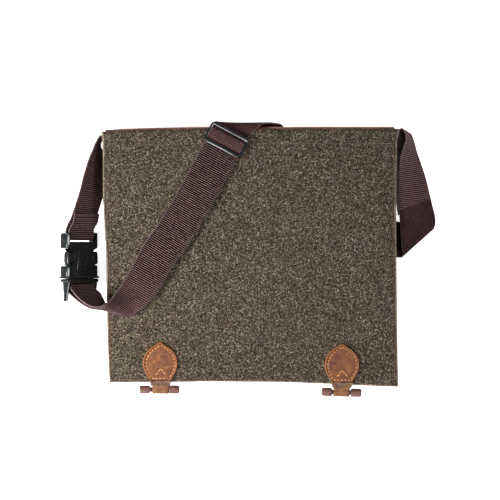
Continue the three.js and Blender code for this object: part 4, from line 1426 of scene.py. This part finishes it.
# Painted light on the ribs by their phase: a highlight on each crest, nearly black shade in the grooves. The
# soft copy is painted lighter with less contrast, for the steep straps beside the bag
crisp_rib_painted_light = add_node(webbing, "ShaderNodeValToRGB", {"Fac": rib_share}, [
    (0.00, "#0a0101"), (0.40, "#0e0202"), (0.435, "#947877"), (0.565, "#947877"),
    (0.60, "#0e0202"), (1.00, "#0a0101"),
])
soft_rib_painted_light = add_node(webbing, "ShaderNodeValToRGB", {"Fac": rib_share}, [
    (0.00, "#352223"), (0.25, "#3c2829"), (0.37, "#806364"), (0.63, "#806364"), (0.75, "#3c2829"),
    (1.00, "#352223"),
])
rib_painted_light = add_node(webbing, "ShaderNodeMix", {
    0: weave_axes.outputs[1],
    6: soft_rib_painted_light,
    7: crisp_rib_painted_light,
}, data_type="RGBA")
webbing_place = add_node(webbing, "ShaderNodeTexCoord").outputs["Object"]
webbing_wear = add_node(webbing, "ShaderNodeTexNoise", {
    "Vector": webbing_place,
    "Scale": per_metre(30),
    "Detail": 3.0,
})
# The plain weave: dark and even, painted shade, with a slow random change of tone
plain_painted_shade = add_node(webbing, "ShaderNodeValToRGB", {"Fac": webbing_wear}, [
    (0.35, "#342021"), (0.65, "#462f30"),
])
weave_colour = add_node(webbing, "ShaderNodeMix", {
    0: weave_axes.outputs[0],
    6: plain_painted_shade,
    7: rib_painted_light.outputs[2],
}, data_type="RGBA")
webbing_fuzz = add_node(webbing, "ShaderNodeTexNoise", {
    "Vector": webbing_place,
    "Scale": per_metre(1.4),
    "Detail": 4.0,
})
fuzz_tone = add_node(webbing, "ShaderNodeValToRGB", {"Fac": webbing_fuzz}, [
    (0.35, "#b4b4b4"), (0.65, "#ffffff"),
])
webbing_colour = add_node(webbing, "ShaderNodeMix", {
    0: 1.0,
    6: weave_colour.outputs[2],
    7: fuzz_tone,
}, data_type="RGBA", blend_type="MULTIPLY")
yarn_count = add_node(webbing, "ShaderNodeMath", {0: webbing_axes.outputs[0], 1: 2 * math.pi / YARN},
                      operation="MULTIPLY")
yarn_wave = add_node(webbing, "ShaderNodeMath", {0: yarn_count}, operation="SINE")
webbing_heights = add_node(webbing, "ShaderNodeMath", {
    0: yarn_wave,
    1: YARN_SHARE,
    2: webbing_fuzz,
}, operation="MULTIPLY_ADD")
webbing_relief = add_node(webbing, "ShaderNodeBump", {
    "Height": webbing_heights,
    "Strength": 0.6,
    "Distance": 0.3 * MM,
})
finish_material(webbing, add_node(webbing, "ShaderNodeBsdfPrincipled", {
    "Base Color": webbing_colour.outputs[2],
    "Roughness": 0.8,
    "Specular IOR Level": 0.05,
    "Sheen Weight": 0.12,
    "Sheen Roughness": 0.3,
    "Sheen Tint": linear("#8e5c5e"),
    "Normal": webbing_relief,
}))

# The selvedge: the woven border of the webbing, where the weft turns back, painted paler as a highlight where
# its rounded edge catches the light
selvedge = bare_material("polyester_webbing_selvedge_painted_highlight")
selvedge_noise = add_node(selvedge, "ShaderNodeTexNoise", {
    "Vector": add_node(selvedge, "ShaderNodeTexCoord").outputs["Object"],
    "Scale": per_metre(1.6),
    "Detail": 3.0,
})
selvedge_highlight_colour = add_node(selvedge, "ShaderNodeValToRGB", {"Fac": selvedge_noise}, [
    (0.35, "#382425"), (0.65, "#654a4b"),
])
finish_material(selvedge, add_node(selvedge, "ShaderNodeBsdfPrincipled", {
    "Base Color": selvedge_highlight_colour,
    "Roughness": 0.7,
    "Sheen Weight": 0.12,
}))


def webbing_edges(rows):
    """Both edges of a strip through sections, finely stepped, and the distance along its middle."""
    sections = np.array([row[:6] for row in rows], float)
    upper = curve(sections[:, :3], SPAN_STEPS)
    lower = curve(sections[:, 3:], SPAN_STEPS)
    return upper, lower, distances((upper + lower) / 2)


def webbing_strip(name, rows, stretches):
    """A strip of webbing through sections, with a round selvedge along each edge.

    A stretch gives where it starts on the upper and on the lower edge, counted in sections, and its weave
    as shares of ribs and of crispness.
    """
    upper, lower, distance = webbing_edges(rows)
    fine_step = RIB / RIB_STEPS
    starts = [
        np.interp(np.array(stretch[:2]) * SPAN_STEPS, np.arange(len(distance)), distance)
        for stretch in stretches
    ]
    ends = [min(start) - 2 for start in starts[1:]] + [distance[-1]]
    stations = [np.zeros(0)]
    reached = 0.0
    for (_, _, ribs, _), start, end in zip(stretches, starts, ends):
        if ribs == 0:
            stations.append(np.arange(reached, max(start) + 2, fine_step))
            reached = max(start) + 2
        stations.append(np.arange(reached, end, fine_step if ribs else SMOOTH_STEP))
        reached = end
    stations = np.concatenate(stations)
    fine = np.hstack([on_line(stations, distance, edge) for edge in (upper, lower)])
    face = facings(fine)
    inset = np.array([0, 0.15, 0.5, SELVEDGE, SELVEDGE + 0.25])
    across = np.concatenate([inset, np.linspace(6, WEBBING_WIDTH - 6, 5), WEBBING_WIDTH - inset[::-1]])
    share = (across / WEBBING_WIDTH)[None, :]
    sheet = fine[:, None, :3] + (fine[:, None, 3:] - fine[:, None, :3]) * share[..., None]
    border = np.minimum(across, WEBBING_WIDTH - across)
    woven = (border > SELVEDGE).astype(float)[None, :]
    rounded = 1 - 0.75 * rim_drop(border, 0.7)[None, :]
    phase = (stations / RIB) % 1
    crest = (1 - (2 * phase - 1) ** 2)[:, None]
    ribbed = np.zeros((len(stations), len(across)))
    crisp = np.zeros((len(stations), len(across)))
    for (_, _, ribs, crispness), start in zip(stretches, starts):
        begun = smooth_step((stations[:, None] - start[0] - (start[1] - start[0]) * share) / fine_step)
        ribbed += (ribs - ribbed) * begun
        crisp += (crispness - crisp) * begun
    relief = ribbed * RIB_HEIGHT * (1 - crest) + (1 - ribbed) * SMOOTH_HEIGHT
    half = (WEBBING_HALF - woven * relief) * rounded
    return slab(
        name,
        sheet + face[:, None, :] * half[..., None],
        sheet - face[:, None, :] * half[..., None],
        [webbing, selvedge],
        {"flat_mm": grid(across[None, :], stations[:, None]), "weave_shares": grid(ribbed, crisp)},
        rim_quads=2,
    )


# The weaves: shares of ribs and of crispness, the contrast of the painted light on the ribs. The plain and
# dim weaves are darker, as painted shade.
SOFT_RIBS = (1.0, 0.0)
CRISP_RIBS = (1.0, 1.0)
DIM_RIBS_PAINTED_SHADE = (0.35, 0.0)
PLAIN_PAINTED_SHADE = (0.0, 0.0)
short_rows = SHORT_STRAP + buckle_section(46, -1.6) + bar_loop(FEMALE_BAR, 3.3, 1)
short_rows += buckle_section(44, 2.9) + SHORT_STRAP_END
strap_short_mesh = webbing_strip("strap_short_webbing", short_rows, [(0, 0, *SOFT_RIBS)])
place_piece(strap_short_mesh, "webbing", "strap_short")

# The long strap's weave: plain inside the right loop, as painted shade in the gap beside the flap, ribbed
# from its top to the slanting join, then plain under the bag, which paints the fold below the join in shade,
# faintly ribbed in the slider as painted shade under its bars, crisp on the flap and with softer painted
# light round the turn at the lower left
LOOP_TOP = 4.4
JOIN_UPPER = 10.25
JOIN_LOWER = 9.3
SLIDER_ROWS = 7
TURN_AFTER = 1.4
FADE_ROWS = 1.4
FADE_STEPS = 10
UNDER_ROWS = 5
under_rows = [under_section(i / (len(UNDER_BAG) - 1)) for i in range(UNDER_ROWS)]
plain_end = len(RIGHT_LOOP) + len(under_rows) + len(CREST)
slider_end = plain_end + SLIDER_ROWS
turn_start = plain_end + len(THROUGH_SLIDER) + TURN_AFTER
long_rows = RIGHT_LOOP + under_rows + CREST
long_rows += [flap_section(*row) for row in THROUGH_SLIDER] + turn_layer(-1)
long_rows += buckle_section(-22, -1) + bar_loop(MALE_BAR, 3.1, -1) + buckle_section(-22, 6.4)
long_rows += turn_layer(1)[::-1] + [flap_section(*row) for row in ROUND_MIDDLE_BAR]
# Round the turn the painted rib light fades from crisp to the soft, lighter copy, where the light grazes the
# strap
turn_fade = []
for step in range(1, FADE_STEPS + 1):
    fade_start = turn_start + FADE_ROWS * step / FADE_STEPS
    turn_fade.append((fade_start, fade_start, 1.0, 1.0 - step / FADE_STEPS))
strap_long_mesh = webbing_strip(
    "strap_long_webbing",
    long_rows,
    [
        (0, 0, *PLAIN_PAINTED_SHADE),
        (LOOP_TOP, LOOP_TOP, *SOFT_RIBS),
        (JOIN_UPPER, JOIN_LOWER, *PLAIN_PAINTED_SHADE),
        (plain_end, plain_end, *DIM_RIBS_PAINTED_SHADE),
        (slider_end, slider_end, *CRISP_RIBS),
    ] + turn_fade,
)
place_piece(strap_long_mesh, "webbing", "strap_long")

# The sewing of the short strap's folded end: rows of thread across it, just above the buckle
END_ROWS = (2.2, 6.4, 10.6, 14.8)
END_PITCH = 2.6
END_STITCH = 1.7
END_THREAD = 0.7
END_LIFT = 0.7
webbing_thread = thread_material(
    "polyester_thread_dusty_pink",
    [(0.35, "#5c4142"), (0.5, "#7f5f5f"), (0.7, "#a08080")],
)


def end_spot(back, across):
    """A place on the folded end's outer face, at distances back from the cut and across the webbing."""
    at = short_distance[-1] - back
    upper = on_line(at, short_distance, short_upper)
    lower = on_line(at, short_distance, short_lower)
    return upper + (lower - upper) * across / WEBBING_WIDTH


short_upper, short_lower, short_distance = webbing_edges(short_rows)
end_face = np.cross(end_spot(6, 0) - end_spot(6, WEBBING_WIDTH), end_spot(2, 20) - end_spot(10, 20))
end_face *= np.sign(end_face[2]) / np.linalg.norm(end_face)
end_runs = [
    (end_spot(back, x) + end_face * END_LIFT, end_spot(back, x + END_STITCH) + end_face * END_LIFT, end_face)
    for back in END_ROWS
    for x in np.arange(2.5, WEBBING_WIDTH - 3, END_PITCH)
]
place_piece(thread_runs("strap_end_stitches", end_runs, END_THREAD / 2, webbing_thread), "webbing")

# The side-release buckle: two halves moulded in black nylon. The female half is a shell with a bar for the
# short strap and a finger scoop in each side. The male half's sprung arms end in the two buttons that show
# in the scoops, and its own bar, between two tapered legs, holds the long strap.
PARTING = -9.7
MALE_END = -35.0
EAR_TOP = 41.0
BUCKLE_HALF = 25.0
BUCKLE_DEPTH = 5.75
BUCKLE_CORNER = 3.0
SLOT_HALF = 20.75
SLOT_LOW = 31.0
CAVITY_TOP = 24.0
CAVITY_HALF = 3.4
BAR_HALF = 1.6
BAR_ROOT = 0.5
CUT_REACH = 8.0
SCOOP_MIDDLE = 14.0
SCOOP_HALF = 9.9
SCOOP_DEPTH = 11.0
CHAMFER_FACE = 2.2
CHAMFER_SIDE = 1.5
ROUNDING_STEPS = 4
ROUNDED_FROM = math.radians(35)
SHARP_FROM = math.radians(25)

# Nylon, moulded with a light texture: nearly black, satin, with clear highlights on rounded edges
black_plastic = bare_material("nylon_moulded_black")
plastic_place = add_node(black_plastic, "ShaderNodeTexCoord").outputs["Object"]
plastic_texture = add_node(black_plastic, "ShaderNodeTexNoise", {
    "Vector": plastic_place,
    "Scale": per_metre(0.5),
    "Detail": 3.0,
})
plastic_handling = add_node(black_plastic, "ShaderNodeTexNoise", {
    "Vector": plastic_place,
    "Scale": per_metre(9),
    "Detail": 4.0,
})
plastic_colour = add_node(black_plastic, "ShaderNodeValToRGB", {"Fac": plastic_handling}, [
    (0.35, "#121516"), (0.65, "#1c2021"),
])
plastic_shine = add_node(black_plastic, "ShaderNodeMapRange", {
    "Value": plastic_handling,
    "To Min": 0.1,
    "To Max": 0.2,
})
plastic_relief = add_node(black_plastic, "ShaderNodeBump", {
    "Height": plastic_texture,
    "Strength": 0.04,
    "Distance": 0.1 * MM,
})
finish_material(black_plastic, add_node(black_plastic, "ShaderNodeBsdfPrincipled", {
    "Base Color": plastic_colour,
    "Roughness": plastic_shine,
    "IOR": 1.48,
    "Normal": plastic_relief,
}))


def rounded_outline(left, bottom, right, top, radius):
    """A rectangle with round corners, as x and y."""
    points = []
    for x, y, start in (
        (right - radius, top - radius, 0),
        (left + radius, top - radius, 90),
        (left + radius, bottom + radius, 180),
        (right - radius, bottom + radius, 270),
    ):
        for degrees in (0, 30, 60, 90):
            angle = math.radians(start + degrees)
            points.append((x + radius * math.cos(angle), y + radius * math.sin(angle)))
    return points


def prism(outline, low, high):
    """A straight-sided solid on an outline, as a mesh of its own."""
    mesh = bpy.data.meshes.new("prism")
    shape = bmesh.new()
    face = shape.faces.new([shape.verts.new((x, y, low)) for x, y in outline])
    risen = bmesh.ops.extrude_face_region(shape, geom=[face])
    moved = [item for item in risen["geom"] if isinstance(item, bmesh.types.BMVert)]
    bmesh.ops.translate(shape, vec=(0, 0, high - low), verts=moved)
    bmesh.ops.recalc_face_normals(shape, faces=shape.faces)
    shape.to_mesh(mesh)
    shape.free()
    return mesh


def moulded_piece(name, solids, *nodes, rounding, to_world, cuts=()):
    """A piece of joined solids, with the cuts taken away and the edges rounded."""
    scratch = []

    def scratch_object(mesh):
        made = bpy.data.objects.new("scratch", mesh)
        scene.collection.objects.link(made)
        scratch.append(made)
        return made

    body = scratch_object(solids[0])
    for operation, meshes in (("UNION", solids[1:]), ("DIFFERENCE", cuts)):
        for mesh in meshes:
            step = body.modifiers.new(operation, "BOOLEAN")
            step.operation = operation
            step.solver = "EXACT"
            step.object = scratch_object(mesh)
    bevel = body.modifiers.new("edges", "BEVEL")
    bevel.width = rounding
    bevel.segments = ROUNDING_STEPS
    bevel.limit_method = "ANGLE"
    bevel.angle_limit = ROUNDED_FROM
    bpy.context.view_layer.update()
    evaluated = body.evaluated_get(bpy.context.evaluated_depsgraph_get())
    mesh = bpy.data.meshes.new_from_object(evaluated)
    for made in scratch:
        bpy.data.objects.remove(made)
    mesh.name = name
    mesh.transform(to_world)
    mesh.materials.clear()
    mesh.materials.append(black_plastic)
    mesh.polygons.foreach_set("use_smooth", np.ones(len(mesh.polygons), bool))
    mesh.set_sharp_from_angle(angle=SHARP_FROM)
    place_piece(mesh, "black_plastic", *nodes)


buckle_axes = Matrix((BUCKLE_RIGHT, BUCKLE_ALONG, BUCKLE_FACE)).transposed().to_4x4()
buckle_to_world = Matrix.Translation(Vector(BUCKLE_CENTRE) * MM) @ buckle_axes @ Matrix.Scale(MM, 4)


def box_outline(left, bottom, right, top):
    return [(left, bottom), (right, bottom), (right, top), (left, top)]


def block(left, bottom, right, top, low, high):
    return prism(box_outline(left, bottom, right, top), low, high)


def side_prism(outline, left, right):
    """A solid on an outline seen from the side, as y and z, reaching from left to right."""
    mesh = prism(outline, left, right)
    mesh.transform(Matrix(((0, 0, 1, 0), (1, 0, 0, 0), (0, 1, 0, 0), (0, 0, 0, 1))))
    return mesh


def buckle_piece(name, solids, *nodes, rounding, cuts=()):
    moulded_piece(name, solids, *nodes, rounding=rounding, to_world=buckle_to_world, cuts=cuts)


def buckle_bar(middle, half):
    """A bar across the slot, rooted in both of its sides."""
    reach = SLOT_HALF + BAR_ROOT
    return block(-reach, middle - half, reach, middle + half, -half, half)


def scoop_outline(side):
    """The finger scoop in a side of the female half: a half ellipse cut in from the edge."""
    outside = side * (BUCKLE_HALF + 2)
    points = [(outside, SCOOP_MIDDLE + SCOOP_HALF)]
    for degrees in range(0, 181, 15):
        angle = math.radians(degrees)
        inward = side * (BUCKLE_HALF - SCOOP_DEPTH * math.sin(angle))
        points.append((inward, SCOOP_MIDDLE + SCOOP_HALF * math.cos(angle)))
    points.append((outside, SCOOP_MIDDLE - SCOOP_HALF))
    return points


def chamfer_cut(side):
    """What is taken off a long edge of the female half's face, as a flat chamfer."""
    slope = CHAMFER_SIDE / CHAMFER_FACE
    inner = BUCKLE_HALF - CHAMFER_FACE
    corner = BUCKLE_HALF + 2
    section = [
        (BUCKLE_DEPTH + 2, side * (inner - 2 / slope)),
        (BUCKLE_DEPTH - slope * (corner - inner), side * corner),
        (BUCKLE_DEPTH + 2, side * corner),
    ]
    mesh = prism(section, PARTING - 1, EAR_TOP + 1)
    mesh.transform(Matrix(((0, 1, 0, 0), (0, 0, 1, 0), (1, 0, 0, 0), (0, 0, 0, 1))))
    return mesh


female_outline = rounded_outline(-BUCKLE_HALF, PARTING, BUCKLE_HALF, EAR_TOP, BUCKLE_CORNER)
female_cuts = [
    block(-SLOT_HALF, PARTING - 1, SLOT_HALF, CAVITY_TOP, -CAVITY_HALF, CAVITY_HALF),
    block(-SLOT_HALF, SLOT_LOW, SLOT_HALF, EAR_TOP + 1, -CUT_REACH, CUT_REACH),
    prism(scoop_outline(-1), -CUT_REACH, CUT_REACH),
    prism(scoop_outline(1), -CUT_REACH, CUT_REACH),
    chamfer_cut(-1),
    chamfer_cut(1),
]
female_solid = prism(female_outline, -BUCKLE_DEPTH, BUCKLE_DEPTH)
buckle_piece("buckle_female_shell", [female_solid], "buckle_female", rounding=0.5, cuts=female_cuts)
buckle_piece("buckle_female_bar", [buckle_bar(FEMALE_BAR, BAR_HALF)], rounding=1.0)

# The collar round the shell's mouth, and the two fine ribs that lean across its face
COLLAR = (-9.5, -7.0)
COLLAR_PROUD = 0.5
collar_half = BUCKLE_HALF + COLLAR_PROUD
collar_depth = BUCKLE_DEPTH + COLLAR_PROUD
hole_half = BUCKLE_HALF - 1
hole_depth = BUCKLE_DEPTH - 1
collar_solid = block(-collar_half, COLLAR[0], collar_half, COLLAR[1], -collar_depth, collar_depth)
collar_hole = block(-hole_half, COLLAR[0] - 1, hole_half, COLLAR[1] + 1, -hole_depth, hole_depth)
buckle_piece("buckle_collar", [collar_solid], rounding=0.5, cuts=[collar_hole])

# The ribs: name, upper end and lower end, as x and y
FACE_RIBS = [
    ("long", (-6.4, 25.1), (-10.0, -0.2)),
    ("short", (6.8, 16.3), (1.1, 4.2)),
]
RIB_HALF = 0.9
RIB_PROUD = 0.9
RIB_ROUNDING = 0.8
for rib_name, rib_top, rib_foot in FACE_RIBS:
    rib_outline = box_outline(rib_foot[0] - RIB_HALF, rib_foot[1], rib_foot[0] + RIB_HALF, rib_foot[1])
    rib_outline[2:] = [(rib_top[0] + RIB_HALF, rib_top[1]), (rib_top[0] - RIB_HALF, rib_top[1])]
    rib_solid = prism(rib_outline, BUCKLE_DEPTH - 1, BUCKLE_DEPTH + RIB_PROUD)
    buckle_piece("buckle_rib_" + rib_name, [rib_solid], rounding=RIB_ROUNDING)

# The male half: head, cover and legs. A leg is seen from the side, as y and z.
MALE_TOP = PARTING - GAP
HEAD_FOOT = -13.6
COVER_FOOT = -15.8
COVER_UNDER = 4.4
LEG_OUTER = 22.9
MALE_BAR_HALF = 1.5
TONGUE_TOP = -3.0
TONGUE_HALF = 3.0
LEG_SIDE = [
    (HEAD_FOOT + 1, -4.6),
    (HEAD_FOOT + 1, BUCKLE_DEPTH),
    (COVER_FOOT - 1, BUCKLE_DEPTH - 0.2),
    (MALE_END + 1.5, 2.6),
    (MALE_END, 1.0),
    (MALE_END, -1.6),
    (MALE_END + 1.5, -3.0),
]
head_outline = rounded_outline(-BUCKLE_HALF, HEAD_FOOT, BUCKLE_HALF, MALE_TOP, 1.2)
head_solid = prism(head_outline, -BUCKLE_DEPTH, BUCKLE_DEPTH)
tongue_solid = block(1 - SLOT_HALF, HEAD_FOOT, SLOT_HALF - 1, TONGUE_TOP, -TONGUE_HALF, TONGUE_HALF)
buckle_piece("buckle_male_head", [head_solid, tongue_solid], "buckle_male", rounding=0.6)
cover_solid = block(-LEG_OUTER, COVER_FOOT, LEG_OUTER, HEAD_FOOT + 1, COVER_UNDER, BUCKLE_DEPTH)
buckle_piece("buckle_male_cover", [cover_solid], rounding=0.5)
buckle_piece("buckle_male_bar", [buckle_bar(MALE_BAR, MALE_BAR_HALF)], rounding=0.9)

# The arms and their buttons: the button's outline, as distance from the middle and y
ARM_INNER = 15.0
ARM_OUTER = 19.5
ARM_TOP = 16.5
ARM_HALF = 2.6
BUTTON_LOW = -1.0
BUTTON_HIGH = 5.3
BUTTON = [
    (21.2, 5.6),
    (23.6, 5.8),
    (24.5, 8.0),
    (24.6, 16.0),
    (24.0, 19.2),
    (22.4, 20.4),
    (17.6, 20.0),
    (16.2, 15.0),
    (16.6, 11.5),
    (18.8, 7.6),
]
for side, side_name in ((-1, "upper"), (1, "lower")):
    leg = sorted((side * (SLOT_HALF - 0.1), side * LEG_OUTER))
    buckle_piece("buckle_leg_" + side_name, [side_prism(LEG_SIDE, *leg)], rounding=0.7)
    arm = sorted((side * ARM_INNER, side * ARM_OUTER))
    arm_solid = block(arm[0], HEAD_FOOT + 1, arm[1], ARM_TOP, -ARM_HALF, ARM_HALF)
    buckle_piece("buckle_arm_" + side_name, [arm_solid], rounding=0.6)
    button_solid = prism([(side * x, y) for x, y in BUTTON], BUTTON_LOW, BUTTON_HIGH)
    buckle_piece("buckle_button_" + side_name, [button_solid], rounding=0.8)

# The slider: a three-bar frame moulded in the same black nylon, lying askew on the strap at the top edge.
# The strap runs over its middle bar, and the strap's own end is sewn round that bar underneath.
SLIDER_LENGTH = 46.0
SLIDER_DEPTH = 24.0
SLIDER_BAR = 3.5
SLIDER_LOW = 2.2
SLIDER_HIGH = 6.9
CHANNEL_TOP = 4.3
SLIDER_CHAMFER = 0.95
SLIDER_SLOPE = 0.36
SLIDER_CORNER = 4.5
OPENING_CORNER = 2.2
CHAMFER_REACH = 0.5
MIDDLE_BAR_HALF = 2.0
MIDDLE_BAR_TOP = 4.2
slider_turn = Matrix.Rotation(math.atan2(STRAP_HEADING[0], -STRAP_HEADING[1]), 4, "Z")
slider_tilt = Matrix.Rotation(math.atan(RAMP_SLOPE), 4, "X")
slider_spot = Vector((SLIDER_CENTRE[0], SLIDER_CENTRE[1], flap_face(SLIDER_CENTRE[1]))) * MM
slider_to_world = Matrix.Translation(slider_spot) @ slider_tilt @ slider_turn @ Matrix.Scale(MM, 4)
half_length = SLIDER_LENGTH / 2
half_depth = SLIDER_DEPTH / 2
opening = half_depth - SLIDER_BAR
slider_outline = rounded_outline(-half_length, -half_depth, half_length, half_depth, SLIDER_CORNER)
opening_outline = rounded_outline(-SLOT_HALF, -opening, SLOT_HALF, opening, OPENING_CORNER)
slider_solid = prism(slider_outline, SLIDER_LOW, SLIDER_HIGH)
bar_chamfers = [
    side_prism([
        (edge - CHAMFER_REACH, SLIDER_HIGH + CHAMFER_REACH),
        (edge - CHAMFER_REACH, SLIDER_HIGH - SLIDER_SLOPE * (SLIDER_CHAMFER + CHAMFER_REACH)),
        (edge + SLIDER_CHAMFER + CHAMFER_REACH / SLIDER_SLOPE, SLIDER_HIGH + CHAMFER_REACH),
    ], -half_length - 1, half_length + 1)
    for edge in (-half_depth, opening)
]
slider_cuts = bar_chamfers + [
    prism(opening_outline, SLIDER_LOW - 1, SLIDER_HIGH + 1),
    block(-SLOT_HALF, -half_depth - 1, SLOT_HALF, half_depth + 1, SLIDER_LOW - 1, CHANNEL_TOP),
]
moulded_piece("slider_frame", [slider_solid], "slider", rounding=0.5, to_world=slider_to_world,
              cuts=slider_cuts)
bar_reach = SLOT_HALF + BAR_ROOT
middle_bar = block(-bar_reach, -MIDDLE_BAR_HALF, bar_reach, MIDDLE_BAR_HALF, SLIDER_LOW, MIDDLE_BAR_TOP)
moulded_piece("slider_middle_bar", [middle_bar], rounding=0.7, to_world=slider_to_world)
